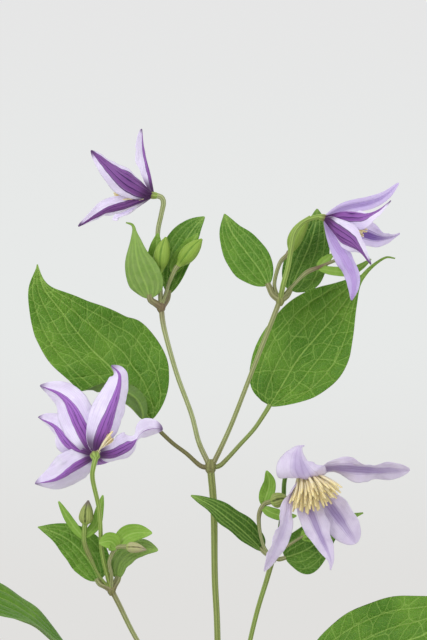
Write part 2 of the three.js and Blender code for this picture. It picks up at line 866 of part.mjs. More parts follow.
const shootLowerLeft = {
  branch: [
    [-2.3, -2.7, 218.8],
    [-11.4, -4.8, 237],
    [-25.4, -7.4, 259],
    [-40, -10.4, 280],
    [-49.4, -13, 298.6],
  ],
  node: NODE_LL,
  pedicel: [
    [-55, -17, 313],
    [-57.8, -20.6, 326],
    [-58.8, -26, 345],
    [-62, -32, 361],
    [-61.6, -34.6, 367.4],
  ],
  flower: "flower_ll",
  leafStalks: {
    leaf_small_ll_left: [[-56, -14.6, 307.6]],
    leaf_small_ll_right: [[-51.4, -13.2, 308.6]],
  },
  budStalks: {
    bud_ll_left: [NODE_LL, [-58.6, -18.4, 312.3], [-62.5, -21, 320], [-66.2, -22, 329]],
    bud_ll_right: [NODE_LL, [-53, -18.4, 313.5], [-54, -21.4, 320], [-50.8, -23.6, 326.8]],
  },
  extras: [
    bract([[-66.6, -22, 331.6], [-71.5, -21.6, 335.6], [-75.5, -21, 341.5], [-79.2, -21, 350]], 2.4),
    bract([[-66.4, -21.8, 332.2], [-60.9, -19.5, 338], [-59, -18.8, 345], [-57.2, -19, 353]], 2.6),
    bract([[-50, -24, 327], [-53, -25.8, 328.2], [-59, -26.6, 329.4]], 3),
    bract([[-49.6, -23.8, 327.6], [-46, -21.6, 333], [-40, -20.4, 335.4], [-32.7, -20.4, 334.3]], 3.6),
  ],
};

const shootLowerRight = {
  branch: [
    [2.3, -2.7, 218.8],
    [5.6, -3.6, 237],
    [11.4, -5, 260],
    [18.8, -8.5, 292],
    [24.4, -11, 311],
  ],
  node: NODE_LR,
  pedicel: [
    [30.6, -9, 334],
    [32.6, -9, 350],
    [33, -14, 359],
    [34.6, -22, 366.4],
    [38, -27.6, 369.6],
  ],
  flower: "flower_lr",
  leafStalks: {
    leaf_small_lr_left: [[24.8, -12.6, 323.4]],
    leaf_small_lr_right: [[30.4, -11, 320.8]],
  },
  budStalks: {
    bud_lr: [NODE_LR, [23.2, -14, 326.3], [20.8, -15.4, 335], [20.4, -16, 343], [22.8, -16, 348.2]],
  },
  extras: [
    sweep([NODE_LR, [33.4, -12.5, 326.7], [42.5, -13, 332.5]], [0.8, 0.6], { sides: 5, steps: 4 }),
    bract([[22.4, -15.6, 347.8], [23.2, -11.6, 353], [24.4, -11.2, 359], [24, -11.5, 364.5]], 3.8),
    bract(
      [
        [22.4, -16.4, 346.6],
        [26, -17.6, 344],
        [31, -17.8, 342.4],
        [36, -17, 342],
        [41, -16, 341],
      ],
      2.4,
    ),
    bract([[41.8, -13, 332], [45, -14.4, 334.6], [49, -15, 336.4]], 1.8),
    bract([[41.8, -13, 332], [45.6, -13, 331.6], [50, -13, 330]], 1.8),
  ],
};

addPiece("shoot_upper_left", "stem", shoot(shootUpperLeft));
addPiece("shoot_upper_right", "stem", shoot(shootUpperRight));
addPiece("shoot_lower_left", "stem", shoot(shootLowerLeft));
addPiece("shoot_lower_right", "stem", shoot(shootLowerRight));

export default clematis;
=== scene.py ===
"""A potted clematis of the nodding, non-clinging kind, in flower, dressed for its looks.

The plant's places and sizes are given in millimetres and its meshes are made in metres. The origin
is the middle of the pot's underside, +Z is up, and the plant is seen in flower from -Y.
"""
import math

import bpy
import numpy as np
from mathutils import Matrix, Vector


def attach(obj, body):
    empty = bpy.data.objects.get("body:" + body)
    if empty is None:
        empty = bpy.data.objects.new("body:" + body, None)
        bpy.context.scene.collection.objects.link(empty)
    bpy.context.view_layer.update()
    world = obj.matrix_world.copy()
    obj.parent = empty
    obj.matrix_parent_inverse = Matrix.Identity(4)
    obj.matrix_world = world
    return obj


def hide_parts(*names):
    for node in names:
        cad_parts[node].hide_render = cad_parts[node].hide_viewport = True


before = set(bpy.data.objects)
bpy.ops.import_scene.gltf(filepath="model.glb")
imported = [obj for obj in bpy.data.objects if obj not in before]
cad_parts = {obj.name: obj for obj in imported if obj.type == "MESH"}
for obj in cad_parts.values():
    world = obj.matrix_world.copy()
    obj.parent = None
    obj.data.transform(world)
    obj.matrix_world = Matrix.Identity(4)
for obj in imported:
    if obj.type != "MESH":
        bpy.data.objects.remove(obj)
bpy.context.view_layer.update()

# Camera: level with the flowers, three metres off with a long lens, so that 320 mm of the plant
# fill the picture's height.
MM = 0.001
camera_data = bpy.data.cameras.new("camera")
camera_data.sensor_width = 36
camera_data.lens = 337.5
camera_data.clip_end = 100
camera = bpy.data.objects.new("camera", camera_data)
camera.location = (-2.25 * MM, -3, 440 * MM)
camera.rotation_euler = (math.radians(90), 0, 0)
bpy.context.scene.collection.objects.link(camera)
bpy.context.scene.camera = camera
bpy.context.scene.view_settings.view_transform = "Standard"


# Studio: a pale grey surround that lights from all sides, one large soft lamp from the upper left,
# a weaker one from the right, and a round pale floor that fades into the surround.
class Wire:
    """A node's output that can be reckoned with: each sign adds the math node that does the sum."""

    def __init__(self, socket):
        self.socket = socket

    def __add__(self, other):
        return calc("ADD", self, other)

    def __sub__(self, other):
        return calc("SUBTRACT", self, other)

    def __rsub__(self, other):
        return calc("SUBTRACT", other, self)

    def __mul__(self, other):
        return calc("MULTIPLY", self, other)

    def __truediv__(self, other):
        return calc("DIVIDE", self, other)

    def __abs__(self):
        return calc("ABSOLUTE", self)


def paint(red, green, blue):
    """A colour given in the 0 to 255 of a paint chart, as Blender wants it."""
    def linear(value):
        share = value / 255
        return share / 12.92 if share <= 0.04045 else ((share + 0.055) / 1.055) ** 2.4
    return (linear(red), linear(green), linear(blue), 1.0)


def feed(socket, value):
    """Fill a node's input with a wire, a colour of the paint chart or a plain value."""
    if isinstance(value, Wire):
        open_tree.links.new(value.socket, socket)
    elif isinstance(value, tuple) and socket.type == "RGBA":
        socket.default_value = paint(*value)
    elif value is not None:
        socket.default_value = value


def add(kind, *values, out=0, **settings):
    """Add a node to the open tree and give one of its outputs. The values fill its inputs in order.
    A setting with a capital fills the input of that name, and any other is the node's own."""
    node = open_tree.nodes.new(kind)
    for name, value in settings.items():
        if name[0].islower():
            setattr(node, name, value)
    for socket, value in zip(node.inputs, values):
        feed(socket, value)
    for name, value in settings.items():
        if name[0].isupper():
            feed(node.inputs[name.replace("_", " ")], value)
    return Wire(node.outputs[out]) if node.outputs else None


def calc(operation, *values):
    return add("ShaderNodeMath", *values, operation=operation)


def step(value, start, end):
    """A soft step: 0 at start and 1 at end."""
    return add("ShaderNodeMapRange", value, start, end, interpolation_type="SMOOTHSTEP")


def mixed(share, first, second):
    """The first colour, with a share of the second laid over it."""
    return add("ShaderNodeMix", share, *[None] * 5, first, second, out=2, data_type="RGBA")


def speckle(place, scale, detail=3.0, roughness=0.55):
    """Cloudy noise of about 0.5, at a place in metres; scale is in spots to the metre."""
    return add("ShaderNodeTexNoise", place, None, scale, detail, roughness)


world = bpy.data.worlds.new("studio")
bpy.context.scene.world = world
world.use_nodes = True
open_tree = world.node_tree
open_tree.nodes.clear()
height = add("ShaderNodeSeparateXYZ", add("ShaderNodeTexCoord"), out=2)
below = mixed(step(height, -0.05, 0.0), (225, 224, 222), (231, 233, 232))
surround = mixed(step(height, 0.01, 0.06), below, (230, 230, 230))
add("ShaderNodeOutputWorld", add("ShaderNodeBackground", surround, 1.0))


def lamp(name, place, aim, size, watts):
    data = bpy.data.lights.new(name, "AREA")
    data.size = size
    data.energy = watts
    made = bpy.data.objects.new(name, data)
    made.location = place
    made.rotation_euler = (Vector(aim) - Vector(place)).to_track_quat("-Z", "Y").to_euler()
    bpy.context.scene.collection.objects.link(made)


lamp("key lamp", (-1.3, -1.6, 1.9), (0, 0, 0.4), 1.2, 26)
lamp("fill lamp", (1.8, -1.2, 0.9), (0, 0, 0.35), 1.4, 7)


def mesh_piece(name, places, faces, material, smooth=True, edges=(), **fields):
    """A piece's object from its points in millimetres and its faces or edges, with one number or
    colour per point for each named field."""
    mesh = bpy.data.meshes.new(name)
    mesh.from_pydata(np.asarray(places) * MM, edges, faces)
    if material:
        mesh.materials.append(material)
    for field, values in fields.items():
        values = np.asarray(values, np.float32)
        kind, key = ("FLOAT", "value") if values.ndim == 1 else ("FLOAT_COLOR", "color")
        mesh.attributes.new(field, kind, "POINT").data.foreach_set(key, values.ravel())
    if smooth:
        mesh.shade_smooth()
    made = bpy.data.objects.new(name, mesh)
    bpy.context.scene.collection.objects.link(made)
    return made


def new_material(name, roughness, specular=0.5, flesh=()):
    """Open a new material's nodes; gives the material and the place on the piece. flesh is how much
    light soaks in, over how many metres, and how far its red, green and blue go."""
    global open_tree
    material = bpy.data.materials.new(name)
    material.use_nodes = True
    open_tree = material.node_tree
    open_tree.nodes.clear()
    shader = open_tree.nodes.new("ShaderNodeBsdfPrincipled")
    shader.inputs["Roughness"].default_value = roughness
    shader.inputs["Specular IOR Level"].default_value = specular
    for part, value in zip(("Weight", "Scale", "Radius"), flesh):
        shader.inputs["Subsurface " + part].default_value = value
    add("ShaderNodeOutputMaterial", Wire(shader.outputs[0]))
    return material, add("ShaderNodeTexCoord", out="Object")


def cover(colour, height=None, depth=None):
    """Give the open material its colour and its fine relief: the height is 0 to 1, and the depth is
    in metres."""
    sockets = open_tree.nodes["Principled BSDF"].inputs
    feed(sockets["Base Color"], colour)
    if height:
        feed(sockets["Normal"], add("ShaderNodeBump", Distance=depth, Height=height))


FLOOR_RADIUS = 5000
FLOOR_SIDES = 96
floor_paper, place = new_material("pale floor", 0.9, 0.1)
cover(mixed(speckle(place, 40.0), (229, 229, 227), (233, 233, 231)))
reach = add("ShaderNodeVectorMath", place, operation="LENGTH", out="Value")
near = Wire(open_tree.nodes["Principled BSDF"].outputs[0])
far = add("ShaderNodeEmission", (229, 229, 228), 1.0)
fade_and_painted_shade = add("ShaderNodeMixShader", step(reach, 0.7, 3.5), near, far)
feed(open_tree.nodes["Material Output"].inputs[0], fade_and_painted_shade)
angles = np.linspace(0, 2 * np.pi, FLOOR_SIDES, endpoint=False)
rim = np.column_stack([np.cos(angles), np.sin(angles), 0 * angles]) * FLOOR_RADIUS
floor = mesh_piece("floor", rim, [list(range(FLOOR_SIDES))], floor_paper)


# Pot: a thrown and turned clay pot with a heavy rolled rim, fired to a soft brick red, with four
# drainage holes off the middle of its floor. It is bare clay, with turning lines and lime bloom.
POT_HEIGHT = 150
POT_BASE_RADIUS = 56
POT_TOP_RADIUS = 74
RIM_RADIUS = 80
RIM_FOOT = 118
POT_WALL = 7
POT_FLOOR = 8
DRAIN_RADIUS = 5
DRAIN_RING = 30
POT_SIDES = 144
LONGEST_PIECE = 1.5


def rounded(corners, radius, steps=5):
    """A profile whose corners are rounded, cut into pieces of at most LONGEST_PIECE."""
    corners = [Vector(c) for c in corners]
    line = [corners[0]]
    for before, corner, after in zip(corners, corners[1:], corners[2:]):
        cut = min(radius, (before - corner).length / 2.2, (after - corner).length / 2.2)
        start = corner + (before - corner).normalized() * cut
        end = corner + (after - corner).normalized() * cut
        for k in range(steps + 1):
            s = k / steps
            line.append(start * (1 - s) ** 2 + corner * 2 * s * (1 - s) + end * s ** 2)
    line.append(corners[-1])
    fine = [line[0]]
    for start, end in zip(line, line[1:]):
        pieces = max(1, math.ceil((end - start).length / LONGEST_PIECE))
        fine += [start.lerp(end, (k + 1) / pieces) for k in range(pieces)]
    return np.array(fine)


def turned(profile, sides):
    """Points and faces of a body turned about +Z, from a profile that starts and ends on the axis."""
    angle = np.linspace(0, 2 * np.pi, sides, endpoint=False)
    rings = profile[1:-1]
    places = np.stack([
        rings[:, :1] * np.cos(angle),
        rings[:, :1] * np.sin(angle),
        np.repeat(rings[:, 1:], sides, axis=1),
    ], axis=-1).reshape(-1, 3)
    ends = [[0, 0, profile[0][1]], [0, 0, profile[-1][1]]]
    places = np.vstack([places, ends])
    first, last = len(places) - 2, len(places) - 1
    top = (len(rings) - 1) * sides
    faces = []
    for j in range(sides):
        k = (j + 1) % sides
        faces.append((first, k, j))
        faces.append((last, top + j, top + k))
        faces += [(i + j, i + k, i + sides + k, i + sides + j) for i in range(0, top, sides)]
    return places, faces


TURNING_PITCH = 3.1
TURNING_DEPTH = 0.13
pot_profile = rounded([
    (0, 0), (POT_BASE_RADIUS - 1, 0), (POT_TOP_RADIUS, RIM_FOOT), (RIM_RADIUS, RIM_FOOT),
    (RIM_RADIUS, POT_HEIGHT), (RIM_RADIUS - POT_WALL - 2, POT_HEIGHT),
    (POT_BASE_RADIUS - POT_WALL, POT_FLOOR), (0, POT_FLOOR),
], 2.4)
out_from_axis, up_pot = pot_profile.T
on_walls = (out_from_axis > POT_BASE_RADIUS - POT_WALL) & (up_pot > 4) & (out_from_axis < RIM_RADIUS - 0.5)
turning = np.sin(up_pot * 2 * np.pi / TURNING_PITCH) * np.sin(up_pot * 0.31)
pot_profile[:, 0] += TURNING_DEPTH * turning * on_walls

clay, place = new_material("bare fired clay", 0.86, 0.25)
cloud, grain = speckle(place, 18.0, 5.0), speckle(place, 900.0, 2.0)
height = add("ShaderNodeSeparateXYZ", place, out=2)
fired = mixed(step(cloud, 0.3, 0.7), (168, 92, 62), (190, 112, 80))
fired = mixed(step(grain, 0.55, 0.75), fired, (146, 80, 56))
damp = step(height, 0.045, 0.0) * step(cloud, 0.35, 0.65)
fired = mixed(damp * 0.5, fired, (126, 68, 48))
bloom_band = step(height, 0.02, 0.06) * step(height, 0.118, 0.08)
bloom = bloom_band * step(speckle(place, 55.0, 6.0, 0.7), 0.52, 0.78) * 0.55
cover(mixed(bloom, fired, (214, 190, 170)), grain, 0.0003)

pot_places, pot_faces = turned(pot_profile, POT_SIDES)
pot = mesh_piece("pot", pot_places, pot_faces, clay)
for k in range(4):
    angle = math.radians(45 + 90 * k)
    bpy.ops.mesh.primitive_cylinder_add(
        vertices=32, radius=DRAIN_RADIUS * MM, depth=4 * POT_FLOOR * MM,
        location=(DRAIN_RING * MM * math.cos(angle), DRAIN_RING * MM * math.sin(angle), 0),
    )
    drill = bpy.context.object
    cut = pot.modifiers.new("drain", "BOOLEAN")
    cut.operation = "DIFFERENCE"
    cut.object = drill
    depsgraph = bpy.context.evaluated_depsgraph_get()
    drilled = bpy.data.meshes.new_from_object(pot.evaluated_get(depsgraph), depsgraph=depsgraph)
    pot.modifiers.clear()
    pot.data = drilled
    bpy.data.objects.remove(drill)
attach(pot, "root")
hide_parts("pot")


# Soil: dark peaty potting mix, pressed in by hand to a finger below the rim, with a plain hole that
# the stem stands in. Its crumbs, bark and the odd grain of pumice lie loose on top.
SOIL_TOP = 130
SOIL_RADIUS = 68.4
SOIL_FOOT = POT_FLOOR + 0.4
STEM_HOLE_RADIUS = 2.4
STEM_HOLE_FOOT = 104
SOIL_SIDES = 150
LUMP_TABLE = 64


def lumps(x, y, size, seed):
    """Soft lumps from 0 to 1 of about the given size, in the same unit as x and y."""
    table = np.random.default_rng(seed).random((LUMP_TABLE, LUMP_TABLE))
    x, y = np.asarray(x) / size + 10 * LUMP_TABLE, np.asarray(y) / size + 10 * LUMP_TABLE
    i, j = np.floor(x).astype(int), np.floor(y).astype(int)
    a, b = x - i, y - j
    a, b = a * a * (3 - 2 * a), b * b * (3 - 2 * b)
    at = lambda i, j: table[i % LUMP_TABLE, j % LUMP_TABLE]
    low = at(i, j) * (1 - a) + at(i + 1, j) * a
    high = at(i, j + 1) * (1 - a) + at(i + 1, j + 1) * a
    return low * (1 - b) + high * b


soil_profile = rounded([
    (0, SOIL_FOOT), (48.2, SOIL_FOOT), (SOIL_RADIUS, SOIL_TOP - 4), (SOIL_RADIUS - 3, SOIL_TOP - 0.6),
    (STEM_HOLE_RADIUS, SOIL_TOP), (STEM_HOLE_RADIUS, STEM_HOLE_FOOT), (0, STEM_HOLE_FOOT),
], 0.8, 3)
soil_places, soil_faces = turned(soil_profile, SOIL_SIDES)
x, y, z = soil_places.T
relief = 3.2 * lumps(x, y, 16, 3) + 1.8 * lumps(x, y, 5, 4) + 1.1 * lumps(x, y, 1.9, 5) - 3.4
soil_places[:, 2] += (z > SOIL_TOP - 3) * relief


def read(field, out="Fac"):
    """A field of the piece's mesh, point by point."""
    return add("ShaderNodeAttribute", attribute_name=field, out=out)


earth, place = new_material("potting mix", 0.95, 0.2)
cloud, grain = speckle(place, 60.0, 5.0), speckle(place, 700.0, 4.0, 0.7)
tone = read("grain")
peat = mixed(step(cloud, 0.35, 0.65), (38, 27, 20), (66, 48, 36))
peat = mixed(step(grain, 0.45, 0.75), peat, (84, 62, 46))
bark = mixed(step(tone, 0.78, 0.82), peat, (104, 74, 50))
cover(mixed(step(tone, 0.955, 0.96), bark, (205, 198, 184)), grain, 0.0008)

soil = mesh_piece("soil", soil_places, soil_faces, earth)
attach(soil, "root")
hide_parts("soil")


def new_growth(name, **inputs):
    """Open a Geometry Nodes tree with a geometry input and the named inputs; gives it and them."""
    global open_tree
    open_tree = bpy.data.node_groups.new(name, "GeometryNodeTree")
    inputs = {"Geometry": "Geometry", **inputs}
    for label, kind in inputs.items():
        open_tree.interface.new_socket(label, in_out="INPUT", socket_type="NodeSocket" + kind)
    open_tree.interface.new_socket("Geometry", in_out="OUTPUT", socket_type="NodeSocketGeometry")
    sockets = open_tree.nodes.new("NodeGroupInput").outputs
    return open_tree, {label: Wire(sockets[label]) for label in inputs}


def close_growth(geometry, material):
    """End a tree: what it made becomes real mesh and gets its material."""
    real = add("GeometryNodeRealizeInstances", geometry)
    add("NodeGroupOutput", add("GeometryNodeSetMaterial", real, None, material))


def grown(piece, tree, **sizes):
    """Run a tree on a piece with the given sizes, and keep what it makes as the piece's mesh."""
    modifier = piece.modifiers.new(tree.name, "NODES")
    modifier.node_group = tree
    for item in tree.interface.items_tree:
        if item.in_out == "INPUT" and item.name in sizes:
            modifier[item.identifier] = sizes[item.name]
    depsgraph = bpy.context.evaluated_depsgraph_get()
    mesh = bpy.data.meshes.new_from_object(
        piece.evaluated_get(depsgraph), preserve_all_data_layers=True, depsgraph=depsgraph
    )
    piece.modifiers.clear()
    piece.data = mesh


def chance(low, high, seed):
    """A random number or vector for each point, between low and high."""
    if isinstance(low, tuple):
        return add("FunctionNodeRandomValue", low, high, Seed=seed, data_type="FLOAT_VECTOR")
    return add("FunctionNodeRandomValue", None, None, low, high, Seed=seed, data_type="FLOAT", out=1)


crumb_tree, given = new_growth("crumbs", Density="Float", Size="Float", Seed="Int")
upward = add("ShaderNodeSeparateXYZ", add("GeometryNodeInputNormal"), out=2)
level = add("ShaderNodeSeparateXYZ", add("GeometryNodeInputPosition"), out=2)
flat = add("FunctionNodeCompare", upward, 0.5, operation="GREATER_THAN")
high = add("FunctionNodeCompare", level, (SOIL_TOP - 6) * MM, operation="GREATER_THAN")
open_soil = add("FunctionNodeBooleanMath", flat, high, operation="AND")
scatter = add("GeometryNodeDistributePointsOnFaces", Mesh=given["Geometry"], Selection=open_soil,
              Density=given["Density"], Seed=given["Seed"])
strewn = add("GeometryNodeInstanceOnPoints", Points=scatter,
             Instance=add("GeometryNodeMeshIcoSphere", given["Size"], 1),
             Rotation=chance((-0.6, -0.6, 0.0), (0.6, 0.6, 6.28), 8),
             Scale=chance((0.35, 0.3, 0.25), (1.5, 1.0, 0.7), 7))
tone = chance(0.0, 1.0, 9)
toned = add("GeometryNodeStoreNamedAttribute", strewn, None, "grain", tone, domain="INSTANCE")
close_growth(toned, earth)

crumbs = mesh_piece("soil_crumbs", soil_places, soil_faces, earth)
grown(crumbs, crumb_tree, Density=230000.0, Size=1.5 * MM, Seed=4)
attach(crumbs, "root")
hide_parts("soil")


# Main stem: one upright green stem, finely ribbed and swollen at its nodes, from which the leaf
# stalks rise in pairs. It is a living stem, grown in one piece with the stalks, and it stands in the
# hole in the soil.
BASAL_NODE = (0.3, 0.3, 158)
LOWER_NODE = (0, 0, 215)
UPPER_NODE = (-3.75, 0, 366.5)
LINE_POINTS = 400


def through(points, shares):
    """Places on the smooth curve through the points, at shares of its length, its directions there
    and its length."""
    p = np.array(points, float)
    p = np.vstack([2 * p[0] - p[1], p, 2 * p[-1] - p[-2]])
    s = np.linspace(0, 1, 40, endpoint=False)[:, None]
    fine = [
        (2 * b + (c - a) * s + (2 * a - 5 * b + 4 * c - d) * s ** 2 + (3 * b - a - 3 * c + d) * s ** 3) / 2
        for a, b, c, d in zip(p, p[1:], p[2:], p[3:])
    ]
    fine = np.vstack(fine + [p[-2:-1]])
    run = np.concatenate([[0], np.cumsum(np.linalg.norm(np.diff(fine, axis=0), axis=1))])
    even = np.linspace(0, run[-1], LINE_POINTS)
    line = np.column_stack([np.interp(even, run, column) for column in fine.T])
    ways = np.gradient(line, axis=0)
    ways /= np.linalg.norm(ways, axis=1, keepdims=True)
    at = np.asarray(shares) * (LINE_POINTS - 1)
    spots = np.arange(LINE_POINTS)
    pick = lambda rows: np.column_stack([np.interp(at, spots, column) for column in rows.T])
    return pick(line), pick(ways), run[-1]


def spread(values, shares):
    """Values that are evenly spaced from 0 to 1, read at the given shares."""
    values = np.atleast_1d(np.asarray(values, float))
    return np.interp(shares, np.linspace(0, 1, len(values)), values)


STEM_GREEN = (142, 155, 86)
BRANCH_GREEN = (158, 164, 114)
PALE_GREEN = (172, 180, 130)
LEAFY_GREEN = (140, 162, 84)
DUSKY_GREEN = (116, 118, 70)
FRESH_GREEN = (148, 174, 86)
DEEP_GREEN = (98, 134, 56)
GREEN_FLESH = (0.12, 0.001, (0.8, 1.0, 0.3))


def stalk(points, radii, purple=0.0, tone=BRANCH_GREEN, pitch=1.0):
    """A stem to be: its line, its radii, how purple it is from its foot to its end, and its colour."""
    length = through(points, [0])[2]
    shares = np.linspace(0, 1, max(4, math.ceil(length / pitch)))
    tones = np.tile(paint(*tone), (len(shares), 1))
    return through(points, shares)[0], spread(radii, shares), spread(purple, shares), tones


def swelling(centre, radius, purple=0.6):
    """The knot of a node, as a short spindle."""
    x, y, z = centre
    line = [(x, y, z + way * radius) for way in (-1.4, 0, 1.4)]
    widths = [radius * share for share in (0.4, 0.85, 1, 0.85, 0.4)]
    return stalk(line, widths, purple, STEM_GREEN, 0.4)


green_stem, place = new_material("green stem", 0.5, 0.3, GREEN_FLESH)
cloud, grain = speckle(place, 160.0, 4.0), speckle(place, 2500.0, 2.0)
tone = read("tone", "Color")
# Painted shade: the ridges keep the stalk's colour and the grooves between the ribs are painted darker.
skin = mixed(step(read("rib"), -0.9, 0.5), mixed(0.55, tone, (74, 92, 30)), tone)
skin = mixed(step(cloud, 0.45, 0.7) * 0.3, skin, (128, 138, 74))
flush = read("purple") * calc("MULTIPLY_ADD", cloud, 0.9, 0.4)
skin = mixed(calc("MINIMUM", flush, 1.0), skin, (112, 84, 74))
cover(skin, grain, 0.00012)

stem_tree, given = new_growth("ribbed stems", Sides="Int", Ribs="Int", Depth="Float")
line = add("GeometryNodeMeshToCurve", given["Geometry"])
radius = add("GeometryNodeInputNamedAttribute", "radius", data_type="FLOAT")
ring = add("GeometryNodeCurvePrimitiveCircle", Resolution=given["Sides"], Radius=1.0)
share = add("GeometryNodeInputIndex") / given["Sides"]
wave = calc("COSINE", share * given["Ribs"] * (2 * math.pi))
swell = calc("MULTIPLY_ADD", wave, given["Depth"], 1.0)
wider = add("ShaderNodeVectorMath", add("GeometryNodeInputPosition"), Scale=swell, operation="SCALE")
ribbed = add("GeometryNodeSetPosition", ring, None, wider)
marked = add("GeometryNodeStoreNamedAttribute", ribbed, None, "rib", wave)
tube = add("GeometryNodeCurveToMesh", Curve=line, Profile_Curve=marked, Scale=radius, Fill_Caps=True)
close_growth(add("GeometryNodeSetShadeSmooth", tube), green_stem)


def stem_piece(name, stalks):
    """One grown piece of all the given stalks."""
    places, radii, purple, tones = [np.concatenate(column) for column in zip(*stalks)]
    edges = []
    start = 0
    for line, *_ in stalks:
        edges += [(start + k, start + k + 1) for k in range(len(line) - 1)]
        start += len(line)
    piece = mesh_piece(name, places, [], None, False, edges,
                       radius=radii.astype(np.float32) * MM, purple=purple, tone=tones)
    grown(piece, stem_tree, Sides=24, Ribs=6, Depth=0.07)
    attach(piece, "root")
    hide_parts(name)


LEAF_STALK = [1.35, 1.1, 1.05, 1.05, 1.2]
BASAL_STALK = [1.2, 0.8]
NODE_FLUSH = [0.8, 0.3, 0.1, 0.0, 0.2]
stem_piece("main_stem", [
    stalk([(0, 0, 105), (0.4, 0.4, 160), LOWER_NODE, (-0.25, 0, 280), (-1.6, 0, 312), (-2.05, 0, 345),
           UPPER_NODE], [2, 1.7, 1.5, 1.5, 1.5, 1.55, 1.8], [0.2, 0.1, 0.2, 0, 0, 0, 0, 0.2], STEM_GREEN),
    swelling(BASAL_NODE, 2.6),
    swelling(LOWER_NODE, 2.9),
    swelling(UPPER_NODE, 2.8, 0.5),
    stalk([UPPER_NODE, (-8.6, 0.8, 367), (-15.8, 2.5, 373.2), (-23.1, 3.8, 378.7), (-31.2, 4.4, 386.6),
           (-33.6, 5, 390.2)], LEAF_STALK, [0.5, 0.3, 0.3, 0.3, 0.2], DUSKY_GREEN),
    stalk([UPPER_NODE, (0.6, 0.8, 367), (4.8, 1.5, 370.8), (10.9, 2.6, 377.5), (18.1, 4, 385.4),
           (23.6, 5.1, 393.5), (26, 6, 397.5)], LEAF_STALK, [0.5, 0.2, 0.1, 0.0], LEAFY_GREEN),
    stalk([LOWER_NODE, (-7, -1, 219), (-26, -3, 235), (-48, -4, 254), (-62.5, -3.1, 263.9), (-66, -4, 267)],
          LEAF_STALK, NODE_FLUSH),
    stalk([LOWER_NODE, (6, -2, 219), (20, -5, 232), (34, -7, 247), (40, -7.2, 255.8), (43.5, -8, 257.5)],
          LEAF_STALK, NODE_FLUSH),
    stalk([BASAL_NODE, (4, -14, 164), (8.6, -25, 174), (10.5, -29.2, 179), (12, -33, 182)],
          BASAL_STALK, NODE_FLUSH),
    stalk([BASAL_NODE, (-5, 14, 165), (-9.6, 25, 176), (-11.5, 29, 182), (-13, 33, 185)],
          BASAL_STALK, NODE_FLUSH),
])


# Leaves of the main stem: thin, ovate and undivided, with a blunt round base and a long point. Five
# arching veins run from the base to the tip and a net of small ones joins them; all are sunk in the
# upper face and stand out below, and the blade swells between them.
LEAF_THICKNESS = 0.42
VEINS = (0.0, 0.36, 0.7)
BLADE_FOOT = 0.8
BLADE_TIP = 0.35
KEEL = 0.1
LOBE_ROLL = 1.3
WAIST_DEPTH = 0.7
WAIST_REACH = 0.09
BLADE_FORM = dict(half=0, widest=0.38, taper=1, blunt=1)
BIG_LEAVES = {
    "leaf_upper_left": dict(
        spine=[(-33.5, 5, 390), (-41.6, 8, 400.5), (-52, 12, 413.5), (-64.6, 15.5, 426.2),
               (-77.2, 18, 442.3), (-87.5, 20, 455.5), (-91, 20.5, 468)],
        face=(0.1, -1, 0.3), half=(20.8, 27), widest=(0.58, 0.36), taper=(1.35, 1.97), blunt=(0.25, 0.57),
        waves=5, ripple=1.1, flap=dict(side=-1, reach=0.4, turn=2.75)),
    "leaf_upper_right": dict(
        spine=[(25.9, 6, 397.3), (33, 9, 409), (40.6, 11.5, 421), (51, 14.5, 433), (63.8, 17, 449),
               (71, 18, 459.5), (77, 17, 466.5), (84, 15, 471.3), (88.9, 13, 471)],
        face=(-0.1, -1, 0.3), half=(21.5, 22), widest=(0.5, 0.4), taper=(1.2, 2), blunt=(0.3, 0.66),
        tail=0.2, waves=2),
    "leaf_lower_left": dict(
        spine=[(-66, -4, 267), (-85, -9, 284), (-97, -12, 293), (-112, -15, 299.5), (-130, -18, 302),
               (-146, -20, 299)],
        face=(0.45, -0.02, 0.85), face_tip=(0.1, -0.46, 0.88), half=22, widest=0.48, waves=3, plain=0.7),
    "leaf_lower_right": dict(
        spine=[(43.5, -8, 257.5), (62, -12, 266), (78, -16, 273.5), (94.5, -19, 281), (112, -21, 288),
               (126, -21.5, 293), (138, -22, 296)],
        face=(-0.1, -0.85, 0.5), half=26, waves=4),
    "leaf_basal_front": dict(
        spine=[(12, -33, 182), (16, -44, 190), (20, -56, 195), (23, -68, 195)],
        face=(0, 0.3, 1), half=13, waves=2),
    "leaf_basal_back": dict(
        spine=[(-13, 33, 185), (-18, 45, 194), (-23, 58, 199), (-26, 71, 198)],
        face=(0, -0.3, 1), half=14, waves=2),
}


def blade_outline(t, widest, taper, blunt):
    """How wide a blade is along its length, from 0 at both ends to 1 where it is widest. The lower
    blunt is, the rounder the base."""
    narrow = np.where(t < widest, taper * blunt, taper)
    swell = narrow * widest / (1 - widest)
    return (t / widest) ** swell * ((1 - t) / (1 - widest)) ** narrow


def turned_lobe(out, high, t, side, reach, turn):
    """Rolls the part of one base lobe that is far from the midrib back over the blade. reach is how
    far up the blade the fold runs, and turn the angle it is rolled by."""
    crease = 2 + 28 * (t / reach) ** 3
    angle = turn * np.clip((reach - t) / (0.35 * reach), 0, 1)
    beyond = np.maximum(side * out - crease, 0)
    round_it = np.minimum(beyond, LOBE_ROLL * angle)
    rest = beyond - round_it
    over = LOBE_ROLL * np.sin(round_it / LOBE_ROLL) + rest * np.cos(angle)
    above = LOBE_ROLL * (1 - np.cos(round_it / LOBE_ROLL)) + rest * np.sin(angle)
    folded = (beyond > 0) & (t < reach)
    return np.where(folded, side * (crease + over), out), np.where(folded, high + above, high)


